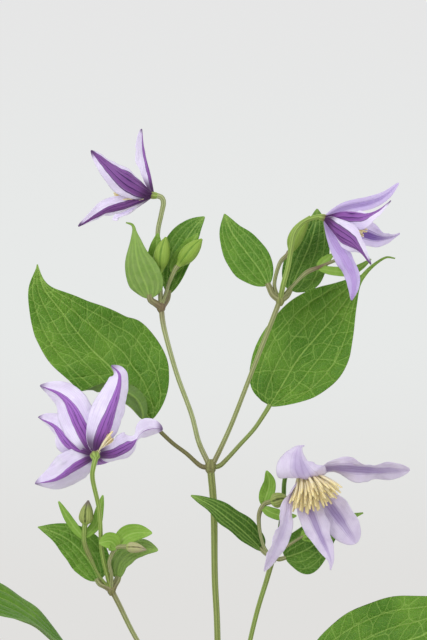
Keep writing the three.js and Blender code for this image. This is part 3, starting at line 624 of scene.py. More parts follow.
def blade(shape, rows, columns):
    """The middle face of a blade as a grid: t runs from base to tip and u across, from -1 to 1. The
    upper side looks the way of face at the base and face_tip at the tip. half is how wide each side
    is, fold lifts both, waves ripple the edges, tail is the share of the length that is a bare point,
    waist where the blade is pinched, and flap turns one lobe of the base over. Gives t, u, the half
    width in mm, the length and the places."""
    s = np.linspace(0, 1, rows + 1)
    t = 0.5 * s + 0.25 * (1 - np.cos(np.pi * s))
    centre, onward, length = through(shape["spine"], t)
    face = np.array(shape["face"], float)
    tip = np.array(shape.get("face_tip", face), float)
    face, tip = face / np.linalg.norm(face), tip / np.linalg.norm(tip)
    looks = face + (tip - face) * t[:, None]
    looks -= (looks * onward).sum(1, keepdims=True) * onward
    looks /= np.linalg.norm(looks, axis=1, keepdims=True)
    side = np.cross(onward, looks)
    t, u = np.meshgrid(t, np.linspace(-1, 1, columns + 1), indexing="ij")
    right = u >= 0
    tail = shape.get("tail", 0.0)
    body = np.minimum(t / (1 - tail), 1)
    forms = [np.broadcast_to(shape.get(key, usual), 2) for key, usual in BLADE_FORM.items()]
    sides = [half * blade_outline(body, *form) for half, *form in zip(*forms)]
    foot = BLADE_FOOT + (BLADE_TIP - BLADE_FOOT) * t + 4 * np.minimum(1 - t, tail)
    width = np.where(right, sides[1], sides[0]) + foot
    if "waist" in shape:
        width = width * (1 - WAIST_DEPTH * np.exp(-((t - shape["waist"]) / WAIST_REACH) ** 2))
    bend = (np.sqrt(u * u + KEEL * KEEL) - KEEL) * (1 + KEEL)
    lift = bend * width * spread(shape.get("fold", 0.1), t)
    ripple = shape.get("ripple", 0.8) * u * u * np.sin(np.pi * t)
    out, high = u * width, lift + ripple * np.sin(2 * np.pi * shape.get("waves", 3) * t + 2 * right)
    if "flap" in shape:
        out, high = turned_lobe(out, high, t, **shape["flap"])
    places = centre[:, None] + side[:, None] * out[..., None] + looks[:, None] * high[..., None]
    return t, u, width, length, places


def facing(places):
    """The way that each point of a grid looks."""
    way = np.cross(np.gradient(places, axis=1), np.gradient(places, axis=0))
    return way / (np.linalg.norm(way, axis=2, keepdims=True) + 1e-9)


def tube_faces(rings, around):
    """Faces of a body of rings of points, closed at both ends."""
    faces = []
    for i in range(0, (rings - 1) * around, around):
        nexts = [(j + 1) % around for j in range(around)]
        faces += [(i + j, i + k, i + around + k, i + around + j) for j, k in enumerate(nexts)]
    faces.append(tuple(range(around - 1, -1, -1)))
    faces.append(tuple((rings - 1) * around + j for j in range(around)))
    return faces


def closed_blade(places, upper, under, **fields):
    """Points, faces and fields of a closed blade whose upper and under faces stand off the grid by
    the given heights, and meet along its edges."""
    way = facing(places)
    rows, columns = places.shape[0], places.shape[1] - 1
    top = places + way * upper[..., None]
    low = places - way * under[..., None]
    edge = [0, columns]
    top[:, edge] = (top[:, edge] + low[:, edge]) / 2
    ring = lambda above, below: np.concatenate([above, below[:, columns - 1:0:-1]], axis=1)
    below = np.ones_like(places[..., 0])
    values = {name: ring(field, field).ravel() for name, field in fields.items()}
    values["under"] = ring(0 * below, below).ravel()
    return ring(top, low).reshape(-1, 3), tube_faces(rows, 2 * columns), values


def vein_net(x, y, size):
    """How far each point of a blade is from the net of small veins, as a share of a cell."""
    return add("ShaderNodeTexVoronoi", Vector=add("ShaderNodeCombineXYZ", x, y), Scale=1 / size,
               voronoi_dimensions="2D", feature="DISTANCE_TO_EDGE")


def leaf_material(name, light, dark, underside, vein, cell, net=1.0):
    """The skin of a leaf: paler along the veins and on the underside, and puffed between them. The
    fields bend, width and run tell where a point lies on its blade, the field of painted shade how
    much a leaf that lies in shade is painted darker, and plain how faint its veins. net is how
    strongly the net of small veins shows; from below it hardly does."""
    material, place = new_material(name, 0.5, 0.2, (0.08, 0.0012, (0.6, 1.0, 0.2)))
    bend, width, run, under = read("bend"), read("width"), read("run"), read("under")
    cloud, fine = speckle(place, 40.0), speckle(place, 260.0, 4.0)
    off = abs(bend)
    near = [abs(off - line) for line in VEINS]
    main = calc("MINIMUM", calc("MINIMUM", near[0], near[1]), near[2]) * width
    x = calc("MULTIPLY_ADD", speckle(place, 90.0, 1.0), 4.0, bend * width)
    y = calc("MULTIPLY_ADD", off * width, -0.55, run)
    coarse, small = vein_net(x, y, cell), vein_net(x, y, 2.1)
    skin = mixed(step(cloud, 0.3, 0.7), dark, light)
    skin = mixed(step(fine, 0.4, 0.75) * 0.2, skin, light)
    skin = mixed(step(coarse, 0.1, 0.4) * 0.25, skin, dark)
    # Painted shade: a leaf that lies in the shade of others is painted darker, by its own share.
    skin = mixed(read("painted_shade"), skin, tuple(0.75 * channel for channel in dark))
    seen_below = step(under, 0.3, 0.7)
    skin = mixed(seen_below, skin, mixed(step(fine, 0.35, 0.7) * 0.4, underside, light))
    shown = calc("MULTIPLY_ADD", seen_below, -0.7 * net, net) * (1.0 - read("plain"))
    skin = mixed(step(small, 0.12, 0.02) * 0.26 * shown, skin, vein)
    skin = mixed(step(coarse, 0.045, 0.012) * 0.4 * shown, skin, vein)
    skin = mixed(step(main, 0.55, 0.2) * (0.12 + 0.38 * net), skin, vein)
    skin = mixed(step(near[0] * width, 0.6, 0.25) * 0.5, skin, vein)
    # A pale line along the edge: partly the leaf's own pale margin, partly a painted highlight.
    skin = mixed(step(off, 0.975, 0.995) * 0.3, skin, vein)
    swell = (step(coarse, 0.0, 0.22) * 2.0 + step(small, 0.0, 0.2)) * shown
    cover(skin, calc("MULTIPLY_ADD", fine, 0.3, swell), 0.0002)
    return material


def leaf_piece(name, shape, rows, columns, material, seed, node=None):
    """A leaf with its veins sunk in, puffed between them, and each vein a rib on the underside."""
    t, u, width, length, places = blade(shape, rows, columns)
    x, y = u * width, t * length
    bend = u + 0.05 * (lumps(y, 0 * y, 9, seed) - 0.5) * (1 - u * u)
    scale = min(1.0, width.max() / 20)
    room = np.clip(width / 9, 0, 1)
    away = np.min([np.abs(np.abs(bend) - line) for line in VEINS], axis=0) * width
    sunk = np.exp(-(away / 1.1) ** 2) * (0.25 + 0.2 * scale)
    puffed = np.minimum(away * 0.14, 0.55) * scale
    broad = 1.5 * scale * (lumps(x, y, 17, seed + 2) - 0.5) + 0.5 * scale * (lumps(x, y, 7, seed + 3) - 0.5)
    places = places + facing(places) * (room * (puffed - sunk + broad * np.sqrt(np.abs(u))))[..., None]
    thin = 0.5 * LEAF_THICKNESS * np.sqrt(1 - u ** 6)
    rib = np.exp(-(away / 0.7) ** 2) * 0.45 * (1 - 0.8 * t) * room * (np.abs(u) < 0.9)
    whole = {field: np.full(t.shape, shape.get(field, 0.0)) for field in ("painted_shade", "plain")}
    points, faces, fields = closed_blade(
        places, thin, thin + rib, bend=bend, width=width, run=y + 40.0 * seed, **whole
    )
    piece = mesh_piece(name, points, faces, material, **fields)
    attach(piece, "root")
    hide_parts(node or name)


leaf_green = leaf_material("leaf", (98, 140, 42), (72, 117, 27), (98, 126, 66), (146, 178, 86), 8.5)
for seed, (name, shape) in enumerate(BIG_LEAVES.items()):
    size = (70, 40) if "basal" in name else (150, 84)
    leaf_piece(name, shape, *size, leaf_green, 20 + 5 * seed)


# Flowers' places: the boss that carries the sepals and its radius knob, the way that each flower
# looks, its sepals from near the boss to the tip, and its tuft of stamens. A sepal is pale, and
# violet outside along three ribs. band is the share of its width that is violet, slim how much
# narrower the band is at the tip and ends where it stops; violet says how strong the band is, star
# the inner face's, wash how lilac the pale is, and the share of painted shade how far the pale is
# greyed for a sepal in shade. flutter waves a sepal's edges.
FLOWERS = {
    "flower_ul": dict(
        boss=(-32.4, 5.2, 502.4), axis=(-0.96, 0.25, 0.08), knob=1.75,
        tuft=dict(count=34, length=17, spread=0.24, dome=1.3, aim=(-0.97, -0.1, -0.02)),
        sepals=[
            dict(points=[(-34.6, 13, 514), (-37.4, 20.5, 525), (-38.6, 26, 536.3)], half=6.8,
                 fold=(0.7, 0.35), band=0.45, violet=1.3),
            dict(points=[(-40.6, -2.8, 507.2), (-49.5, -10.6, 513), (-63.2, -19, 524.2)], half=7.3,
                 flutter=1, band=0.85, violet=1.6),
            dict(points=[(-44, 0, 497.6), (-56, -6, 494), (-69.6, -11, 486.7)], half=(4.8, 3.2),
                 fold=(0.6, 0.5), band=0.55, violet=1.9),
            dict(points=[(-39.6, 14, 498), (-46, 23, 494.6), (-53.2, 31, 490.7)], half=6.6,
                 fold=(0.6, 0.4), violet=0.7),
        ]),
    "flower_ur": dict(
        boss=(52.6, -8, 491), axis=(0.96, -0.12, -0.22), knob=1.75,
        tuft=dict(count=38, length=20, spread=0.16, dome=1.4),
        sepals=[
            dict(points=[(64, -3, 496), (76, 1.5, 498.6), (84, 3.4, 502.4), (90.5, 4, 508.6)], half=2.8,
                 face=(0.2, -1, 0.2), fold=0.2, flutter=0.2, violet=0.65, star=0.5, wash=0.7),
            dict(points=[(62.4, -17, 493.2), (73, -24.5, 492.4), (80, -27.4, 494.6), (85.7, -29, 499)],
                 half=(6.6, 0.5), fold=(0.6, 0.3), band=0.7, violet=1.4),
            dict(points=[(60, -18, 482.6), (68.4, -28, 476.6), (75.7, -34, 467.5)], half=(4.8, 7.4),
                 fold=0.3, band=0.75, violet=1.6),
            dict(points=[(58.5, -12, 479.5), (64, -15.5, 470), (67.6, -16.5, 462), (67.8, -16.5, 456),
                         (66.4, -16, 449.8)],
                 half=(4.9, 2.6), widest=(0.55, 0.6), face=(0.1, 1, 0), fold=(0.1, 0.3), violet=0.3,
                 wash=0.9),
            dict(points=[(64.6, 1, 486), (77, 9, 481.6), (85, 11.6, 481.4), (91.4, 13, 483.4)],
                 half=(6.6, 5), fold=(0.5, 0.3), violet=0.9, star=1.4, wash=0.3),
        ]),
    "flower_ll": dict(
        boss=(-60.9, -31, 372.8), axis=(-0.2, 0.83, 0.52), knob=2.2,
        tuft=dict(count=30, length=15, spread=0.3, dome=1.4, aim=(0.34, 0.72, 0.58)),
        sepals=[
            dict(points=[(-55.6, -24, 387), (-50.8, -19, 401), (-49, -17, 410), (-49.6, -16, 414),
                         (-53, -15, 417.4)],
                 half=8.6, widest=0.42, band=0.56, slim=0.85, violet=1.1),
            dict(points=[(-68.4, -25, 387.4), (-73.6, -21.5, 397.6), (-79.3, -20, 403.5),
                         (-88.4, -19, 407.5)],
                 half=8.6, band=0.56, slim=0.9, violet=1.1),
            dict(points=[(-72.6, -19, 376.6), (-81.5, -8, 386.6), (-89.7, 0, 391.5)], half=8,
                 band=0.5, slim=0.85, violet=1.1),
            dict(points=[(-70.4, -18, 367.2), (-81, -7, 360.6), (-91.4, 0, 358.2)], half=8.2,
                 face=(-0.1, 0.92, 0.2), band=0.36, slim=0.95, violet=1.0),
            dict(points=[(-51.6, -22, 373.4), (-43.5, -16, 377.6), (-38, -13, 384), (-33, -12, 386),
                         (-27.5, -13.5, 386)],
                 half=6.8, widest=0.55, taper=0.6, waist=0.66, band=0.55, ends=0.66, violet=1.3),
            dict(points=[(-57, -18, 369.4), (-53.4, -5, 370.4), (-51, 6, 373)], half=7, violet=1.0),
        ]),
    "flower_lr": dict(
        # This flower hangs face down in shade, and the pale of its sepals is greyed as painted shade.
        boss=(42.8, -34, 364.2), axis=(0.3, -0.6, -0.74), knob=1.75, fade_and_painted_shade=0.6, flutter=3.4,
        tuft=dict(count=72, length=17, spread=0.66, dome=4, aim=(0.3, -0.35, -0.88)),
        sepals=[
            dict(points=[(43.6, -40, 361.6), (43, -44, 362.4), (41.4, -45.4, 366.4), (40.4, -44.6, 370.8),
                         (40.2, -42.2, 375), (40.8, -39.8, 377.4), (42.6, -38, 378)],
                 half=(11.6, 10), widest=(0.5, 0.28), taper=(1.2, 1.7), blunt=(4.5, 1), fold=-0.35,
                 face=(0, -0.6, -0.8), face_tip=(0.2, -0.6, 0.9), violet=0.4, star=0.3),
            dict(points=[(57, -34, 367), (75.7, -35, 366), (94.9, -32, 365.8)], half=7.4, widest=0.58,
                 taper=0.6, fold=0.1, ripple=1.8, violet=0.5, star=0.55),
            dict(points=[(51.8, -30.5, 353), (59.4, -30, 342.7), (64.6, -29, 335), (68.3, -28, 329.2)],
                 half=8.2, widest=0.62, taper=0.6, fold=0.2, band=0.5, violet=0.6, star=0.55),
            dict(points=[(43.8, -30.5, 351), (48.8, -31.5, 337.6), (55.2, -32, 323), (55.7, -32, 316.3)],
                 half=6, widest=0.42, taper=1.2, fold=0.3, band=0.5, violet=0.6, star=0.55),
            dict(points=[(35.6, -38.5, 353), (32.4, -40, 339), (27.4, -38.5, 326), (22.8, -36.5, 315.9)],
                 half=4.6, widest=0.64, fold=0.3, violet=0.25, star=0.15),
        ]),
}


# Buds: closed flowers, each of four sepals that meet edge to edge in narrow seams and are ribbed
# lengthwise. They are green at first, and turn cream and violet at the tip.
BUDS = {
    "bud_ul_centre": dict(
        line=[(-29.2, -0.6, 463.6), (-28.2, -1, 472), (-26, -1, 481.5)],
        radius=4.1, ripe=0.1, full=1.35),
    "bud_ul_right": dict(
        line=[(-20, -0.6, 467), (-14.6, -0.8, 473.4), (-8, -1, 480.5)],
        radius=4.2, ripe=0.0, full=1.3),
    "bud_ur_big": dict(
        line=[(36.2, -0.3, 474), (39.4, 0, 482.5), (46, 0.5, 492)],
        radius=3.8, ripe=0.16, full=1.1),
    "bud_ur_small": dict(
        line=[(58.2, -3, 469.6), (61.5, -3.4, 470.6), (65, -3.6, 471.4)],
        radius=2.4, ripe=0.2, full=1),
    "bud_ll_left": dict(
        line=[(-66, -22, 338.5), (-65.2, -22, 344.5), (-64.4, -22, 350.5)],
        radius=3.7, ripe=0.5, full=0.9),
    "bud_ll_right": dict(
        line=[(-45.6, -24, 327.5), (-40.5, -24.4, 327), (-35.5, -24.5, 326)],
        radius=2.8, ripe=0.8, full=0.9),
    "bud_lr": dict(
        line=[(26.2, -16, 349.6), (31, -16, 350.6), (36, -16, 350.2)],
        radius=3.9, ripe=0.45, full=0.9),
}
BUD_SHAPE = (0.3, 0.68, 0.9, 0.99, 1, 0.97, 0.9, 0.8, 0.67, 0.5, 0.3, 0.09)
BUD_SEPALS = 4
BUD_RIBS = 20
BUD_RINGS = 48
BUD_SIDES = 64
SEAM_TURN = 0.25

bud_skin, place = new_material("bud", 0.55, 0.25, GREEN_FLESH)
rib, up, ripe = read("rib"), read("up"), read("ripe")
cloud, grain = speckle(place, 220.0, 4.0), speckle(place, 1800.0, 2.0)
young = mixed(step(rib, 0.3, 0.95), (138, 168, 68), (92, 130, 38))
young = mixed(step(up, 0.7, 0.0) * 0.35, young, (92, 128, 34))
olive = mixed(step(rib, 0.25, 0.75), (150, 162, 92), (76, 88, 38))
olive = mixed(step(up, 0.6, 1.0) * 0.8, olive, (104, 80, 100))
old = mixed(step(rib, 0.3, 0.8), (192, 184, 146), (122, 106, 80))
skin = mixed(step(ripe, 0.05, 0.45), young, olive)
skin = mixed(step(ripe, 0.55, 1.0), skin, old)
skin = mixed(step(cloud, 0.45, 0.7) * 0.2, skin, (132, 156, 70))
cover(mixed(step(up, 0.16, 0.02) * 0.5, skin, (158, 182, 90)), grain, 0.00015)


def ring_body(line, radii, around, shape):
    """Points, faces, and how far up and at what angle each point is, of a body swept along a line;
    shape gives each point's radius as a share."""
    shares = np.linspace(0, 1, len(radii))
    centre, onward, _ = through(line, shares)
    side = np.cross(onward, [0.0, 1.0, 0.0])
    side /= np.linalg.norm(side, axis=1, keepdims=True)
    other = np.cross(onward, side)
    up, angle = np.meshgrid(shares, np.linspace(0, 2 * np.pi, around, endpoint=False), indexing="ij")
    reach = (radii[:, None] * shape(up, angle))[..., None]
    round_it = side[:, None] * np.cos(angle)[..., None] + other[:, None] * np.sin(angle)[..., None]
    places = centre[:, None] + reach * round_it
    return places.reshape(-1, 3), tube_faces(len(radii), around), up.ravel(), angle.ravel()


def seam_depth(up, angle):
    """How near a point is to one of the seams between a bud's sepals, from 0 to 1."""
    away = np.abs((angle / (2 * np.pi / BUD_SEPALS) + 0.5 + SEAM_TURN * up) % 1 - 0.5)
    return np.exp(-(away / 0.07) ** 2)


def rib_turn(up, angle):
    """The angle round a bud, counted from its seams, which wind as they rise."""
    return angle + SEAM_TURN * up * 2 * np.pi / BUD_SEPALS


def bud_form(up, angle):
    turn = rib_turn(up, angle)
    cheeks = 0.045 * np.cos(BUD_SEPALS * turn + np.pi)
    return 1 + cheeks + 0.018 * np.cos(BUD_RIBS * turn) - 0.09 * seam_depth(up, angle)


for name, bud in BUDS.items():
    radii = spread(BUD_SHAPE, np.linspace(0, 1, BUD_RINGS) ** bud["full"]) * bud["radius"]
    radii = np.convolve(np.pad(radii, 2, mode="edge"), np.ones(5) / 5, mode="valid")
    points, faces, up, angle = ring_body(bud["line"], radii, BUD_SIDES, bud_form)
    stripe = 0.5 - 0.5 * np.cos(BUD_RIBS * rib_turn(up, angle))
    rib = np.maximum(0.55 * stripe, seam_depth(up, angle))
    piece = mesh_piece(name, points, faces, bud_skin, up=up, rib=rib, ripe=np.full(len(up), bud["ripe"]))
    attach(piece, "root")
    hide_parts(name)


# Side shoots: each is a ribbed branch from a node of the main stem up to a node of its own, where it
# gives a pair of small leaves with thick clasping stalks, its buds' stalks and its flower's arching
# stalk, which ends in a green boss.
BOSS_BACK = 2.6
BOSS_FRONT = 2.8


def pedicel(flower, points, tone=FRESH_GREEN, radii=(1.25, 1.15, 1.1, 1.1, 1.15, 1.3)):
    """A flower's stalk, up to and with the boss that carries its sepals."""
    boss = np.array(flower["boss"])
    ahead = np.array(flower["axis"]) / np.linalg.norm(flower["axis"])
    knob = flower["knob"]
    body = [boss + ahead * way for way in (-BOSS_BACK, -0.5 * BOSS_BACK, 0, 1.6, BOSS_FRONT)]
    return [
        stalk([*points, boss - ahead * 2.1], radii, [0.3, 0, 0, 0, 0, 0], tone),
        stalk(body, [1.2, knob, knob * 1.1, knob, 0.5], [0, 0, 0.4, 1, 1], FRESH_GREEN, 0.3),
    ]


CLASPING = [1.9, 1.75, 1.6, 1.6, 1.5]
BUD_STALK = [1.0, 0.9, 0.9, 1.0, 1.2]
BRANCH = [1.35, 1.2, 1.15, 1.15, 1.2, 1.35]
BRANCH_FLUSH = [0.5, 0, 0, 0, 0, 0, 0.3]
NODE_UL = (-28.5, 2, 446.5)
NODE_UR = (31, -4, 450)
NODE_LL = (-53, -14, 305.7)
NODE_LR = (27.5, -12, 322)

stem_piece("shoot_upper_left", [
    stalk([(-4.2, 0.1, 367.5), (-5.6, 0.4, 370), (-9.75, 0.8, 379.3), (-13.4, 1.2, 393.2),
           (-20.7, 1.6, 413.2), (-26.8, 1.9, 435), NODE_UL],
          BRANCH, [0.5, 0.05, 0, 0, 0, 0.05, 0.7], PALE_GREEN),
    swelling(NODE_UL, 2.2, 0.9),
    *pedicel(FLOWERS["flower_ul"],
             [NODE_UL, (-29, 5.6, 456), (-29.9, 7.6, 470), (-30.2, 7.6, 483.5), (-28.4, 6.4, 493),
              (-27.3, 5.4, 498.6), (-28.2, 4.6, 501.3)], PALE_GREEN),
    stalk([NODE_UL, (-31.3, 0.4, 448.4), (-33.6, -0.5, 450), (-34.2, -1, 453)],
          CLASPING, [0.9, 0.8, 0.5, 0.2]),
    stalk([NODE_UL, (-26.6, 5.4, 448.8), (-25.4, 7.4, 451), (-24.8, 8, 455)],
          CLASPING, [0.9, 0.8, 0.6, 0.3]),
    stalk([NODE_UL, (-29, 0.4, 453), (-29.4, -0.4, 459), (-29.3, -0.6, 462), (-29.2, -0.6, 463.8)],
          BUD_STALK, 0.1),
    stalk([NODE_UL, (-26, 0.6, 453.6), (-24.7, 0, 458), (-21.4, -0.5, 465.4), (-19.8, -0.6, 467.2)],
          BUD_STALK, 0.1),
])

stem_piece("shoot_upper_right", [
    stalk([(-3, 0, 367.5), (-1.5, -0.2, 370), (3.5, -0.8, 380.5), (8.4, -1.5, 392), (17.5, -2.6, 415.6),
           (26.6, -3.7, 438.7), NODE_UR], BRANCH, BRANCH_FLUSH),
    swelling(NODE_UR, 2.2, 0.3),
    *pedicel(FLOWERS["flower_ur"],
             [NODE_UR, (32.6, -8, 457.9), (34.8, -8.8, 466), (36.4, -8.8, 475), (38, -8.9, 483),
              (41.9, -8.8, 488.4), (46.6, -8.4, 490.7)], radii=(1.3, 1.35, 1.3, 1.2, 1.1, 1.3)),
    stalk([NODE_UR, (27.4, -4, 452.6), (25.8, -3.9, 456), (24.8, -3.5, 458.2)], CLASPING, 0.35),
    stalk([NODE_UR, (33.8, -1, 451.8), (35, 1.3, 453.3), (36, 2, 455.2)], CLASPING, 0.3),
    stalk([NODE_UR, (28.6, -3.2, 455), (28.4, -2.2, 460), (31, -1, 468.6), (34.6, -0.4, 472.4),
           (35.6, -0.3, 474.2)], BUD_STALK, [0.3, 0.1, 0.1, 0.6]),
    stalk([NODE_UR, (37.6, -4, 457.4), (44, -3.4, 463.6), (50.2, -3, 466.3), (56.4, -2.9, 468.9),
           (58.4, -3, 469.7)], [1.2, 0.95, 0.9, 1.25, 0.8, 0.9], [0.3, 0.1, 0.1, 1.0, 0.1]),
])

stem_piece("shoot_lower_left", [
    stalk([(-0.6, -0.6, 216), (-2.3, -2.7, 218.8), (-11.4, -4.8, 237), (-25.4, -7.4, 259),
           (-40, -10.4, 280), (-49.4, -13, 298.6), NODE_LL], BRANCH, [0.5, 0.05, 0, 0, 0, 0, 0.5]),
    swelling(NODE_LL, 2.1),
    *pedicel(FLOWERS["flower_ll"],
             [NODE_LL, (-55, -17, 313), (-57.8, -20.6, 326), (-58.8, -26, 345), (-62, -32, 361),
              (-61.6, -34.6, 367.4)]),
    stalk([NODE_LL, (-56, -14.6, 307.6), (-58.6, -15.1, 308.8), (-60.4, -15, 311.4)],
          CLASPING, [0.8, 0.3, 0]),
    stalk([NODE_LL, (-51.4, -13.2, 308.6), (-50.4, -12.9, 310), (-49.6, -13, 312.4)],
          CLASPING, [0.8, 0.4, 0.1]),
    stalk([NODE_LL, (-58.6, -18.4, 312.3), (-62.5, -21, 320), (-66.2, -22, 329), (-66.3, -22, 336.8),
           (-66, -22, 338.7)], [0.8, 0.65, 0.7, 1.2, 1.1, 1.3], [0.1, 0, 0.1, 0.4, 0, 0], LEAFY_GREEN),
    stalk([NODE_LL, (-53, -18.4, 313.5), (-54, -21.4, 320), (-50.8, -23.6, 326.8), (-47.2, -23.9, 327.6),
           (-45.4, -24, 327.5)], BUD_STALK, 0.1),
])

stem_piece("shoot_lower_right", [
    stalk([(0.6, -0.6, 216), (2.3, -2.7, 218.8), (5.6, -3.6, 237), (11.4, -5, 260), (18.8, -8.5, 292),
           (24.4, -11, 311), NODE_LR], BRANCH, BRANCH_FLUSH, LEAFY_GREEN),
    swelling(NODE_LR, 2.1),
    *pedicel(FLOWERS["flower_lr"],
             [NODE_LR, (30.6, -9, 334), (32.6, -9, 350), (33, -14, 359), (34.6, -22, 366.4),
              (38, -27.6, 369.6)], DEEP_GREEN),
    stalk([NODE_LR, (24.8, -12.6, 323.4), (23.2, -12.9, 324.3), (20.8, -13.1, 326.7)],
          [1.6, 1.4, 1.2, 1.1], 0.2),
    stalk([NODE_LR, (30.4, -11, 320.8), (31.9, -10.7, 321.1), (33.7, -10.5, 321.6)], [1.4, 1.2, 1.1], 0.2),
    stalk([NODE_LR, (23.2, -14, 326.3), (20.8, -15.4, 335), (20.4, -16, 343), (22.8, -16, 348.2),
           (26.4, -16, 349.7)], [1.0, 0.85, 0.85, 0.95, 1.15, 1.2], [0.2, 0, 0, 0.4, 0.1]),
    stalk([NODE_LR, (33.4, -12.5, 326.7), (42.5, -13, 332.5)], [0.9, 0.6], 0.3),
])


# Small leaves and bracts: pairs of plain little leaves where a side shoot branches, and a pair of
# smaller ones, the bracts, on each bud's stalk. They are made and veined as the big leaves are.
SMALL_LEAVES = {
    "leaf_small_ul_left": dict(
        spine=[(-34, -1, 451), (-35.5, -2.4, 456.5), (-38.2, -3.8, 463.5), (-40.4, -4.8, 472),
               (-41.4, -5, 481), (-42.4, -6, 487), (-45.8, -8, 488.6)],
        face=(0.35, 0.9, 0.1), half=(8.6, 8.2), widest=0.3, taper=1.5, tail=0.14, ripple=0.4),
    "leaf_small_ul_right": dict(
        spine=[(-25, 8, 453), (-22.6, 10, 465), (-18.5, 12, 476.5), (-12.8, 13, 485.5), (-6.75, 13, 491.9)],
        face=(-0.25, -0.9, 0.2), half=(8.6, 7.4), widest=(0.52, 0.46), taper=0.95, ripple=0.4),
    "leaf_small_ur_left": dict(
        spine=[(25, -3.5, 457.5), (20, -2, 466), (13.4, 0, 475), (7, 2, 484), (3.2, 3, 493.1)],
        face=(0.15, -0.95, 0.25), half=(12, 8.5), widest=(0.38, 0.42), ripple=0.5),
    "leaf_small_ur_right": dict(
        spine=[(36, 2, 455), (41, 6, 466), (46, 9, 478), (49, 10.5, 488), (49.8, 11, 495.8)],
        face=(-0.2, -1, 0.2), half=(8.5, 13), widest=(0.4, 0.3), taper=0.9, ripple=0.5, painted_shade=0.4),
    "leaf_small_ll_left": dict(
        spine=[(-59.5, -15, 310.5), (-64, -14, 319.5), (-70.5, -13, 327.5), (-79.5, -13, 333.5),
               (-89.6, -14, 337)],
        face=(0, -1, 0.3), half=(8.4, 10.4), widest=(0.35, 0.34), taper=(1.1, 1.15), ripple=0.9),
    "leaf_small_ll_right": dict(
        spine=[(-50, -13, 311.5), (-48.6, -14.5, 318.6), (-44, -16, 323.4), (-37.4, -17, 326),
               (-29.8, -17.5, 325.6)],
        face=(0.3, 0.9, -0.35), half=(3.8, 7.5), widest=(0.45, 0.4), taper=0.8, ripple=0.5),
    "leaf_small_lr_left": dict(
        spine=[(22, -13, 325.5), (14.5, -15.5, 333), (5, -17, 341), (-4, -17.5, 348), (-13.5, -17, 352.8)],
        face=(-0.15, -0.7, 0.7), half=(5, 7.4), widest=(0.45, 0.3), taper=0.9, ripple=0.6,
        painted_shade=0.7, plain=0.4),
    "leaf_small_lr_right": dict(
        spine=[(33.5, -10.5, 321.5), (43.5, -8, 325.5), (53, -6.5, 331.5), (63, -5.5, 338.5),
               (72.5, -5, 343.8)],
        face=(0.1, -0.85, 0.5), half=(10.5, 13), widest=(0.3, 0.18), taper=(1.1, 3), ripple=0.6, painted_shade=0.4),
}
BRACTS = {
    "shoot_upper_left": [
        ([(-29.4, -0.2, 460), (-31.6, 4.6, 466), (-31.2, 4.7, 475), (-30, 4.2, 483.5)], 3.6),
        ([(-22.6, -0.2, 463.4), (-20, 4, 469), (-14.5, 4.4, 477), (-10.1, 4, 483.3)], 3.4),
    ],
    "shoot_upper_right": [
        ([(50, -3, 466.2), (53, -2.4, 469.2), (57.6, -1.2, 473)], 1.7),
        ([(50.4, -3, 465.8), (57, -4, 464.4), (65.5, -4, 464), (70.5, -3.6, 466), (76.5, -3, 470.4)], 1.8),
    ],
    "shoot_lower_left": [
        ([(-66.6, -22, 331.6), (-71, -21.6, 336.6), (-75, -21, 342.5), (-79.2, -21, 350)], 1.6),
        ([(-66.4, -21.8, 332.2), (-60.9, -19.5, 338), (-59, -18.8, 345), (-57.2, -19, 353)], 2.0),
        ([(-50, -24, 327), (-53.4, -25.8, 330.2), (-59, -26.6, 329.4)], 4),
        ([(-49.6, -23.8, 327.6), (-46, -22.6, 332.4), (-40.6, -22, 334.4), (-32.7, -22.4, 334.3)], 4.2),
    ],
    "shoot_lower_right": [
        ([(22.4, -15.6, 347.8), (24.2, -11.6, 353), (25.6, -11.2, 359), (24.2, -11.5, 365)], 3.2),
        ([(22.4, -16.4, 346.6), (26, -17.6, 344.4), (31, -17.8, 342.8), (35, -17, 342.4),
          (39, -16, 342.6)], 2.2),
        ([(41.8, -13, 332), (45, -14.4, 334.6), (49, -15, 336.4)], 1.8),
        ([(41.8, -13, 332), (45.6, -13, 331.6), (50, -13, 330)], 1.8),
    ],
}
young_green = leaf_material("young leaf", (98, 140, 44), (70, 116, 28), (128, 156, 84),
                            (144, 176, 88), 5.5, 0.7)
for seed, (name, shape) in enumerate(SMALL_LEAVES.items()):
    leaf_piece(name, shape, 90, 52, young_green, 70 + 5 * seed)

bract_green = leaf_material("bract", (124, 162, 60), (98, 140, 40), (132, 164, 84),
                            (150, 182, 92), 8.0, 0.3)
for shoot, bracts in BRACTS.items():
    for number, (spine, half) in enumerate(bracts, 1):
        shape = dict(spine=spine, face=(0, -1, 0.3), half=half, widest=0.42, taper=0.85, ripple=0.2,
                     fold=0.25)
        name = shoot.replace("shoot", "bract") + "_" + str(number)
        leaf_piece(name, shape, 40, 24, bract_green, 130 + 7 * number, shoot)


# Sepals: the four to six coloured blades of a flower; it has no petals. Each is thick along three
# raised ribs, thin and wavy at its edges, and its tip turns back. They stand on the boss.
SEPAL_THICKNESS = 0.5
SEPAL_ROOT = 1.2
RIB_HEIGHT = 0.42
SEPAL_FORM = dict(fold=(0.55, 0.35), waves=2, ripple=0.5, widest=0.48, taper=0.85, flutter=2.4,
                  band=0.66, slim=0.55, ends=1.1, star=0.3, wash=0.0, fade_and_painted_shade=0.0)

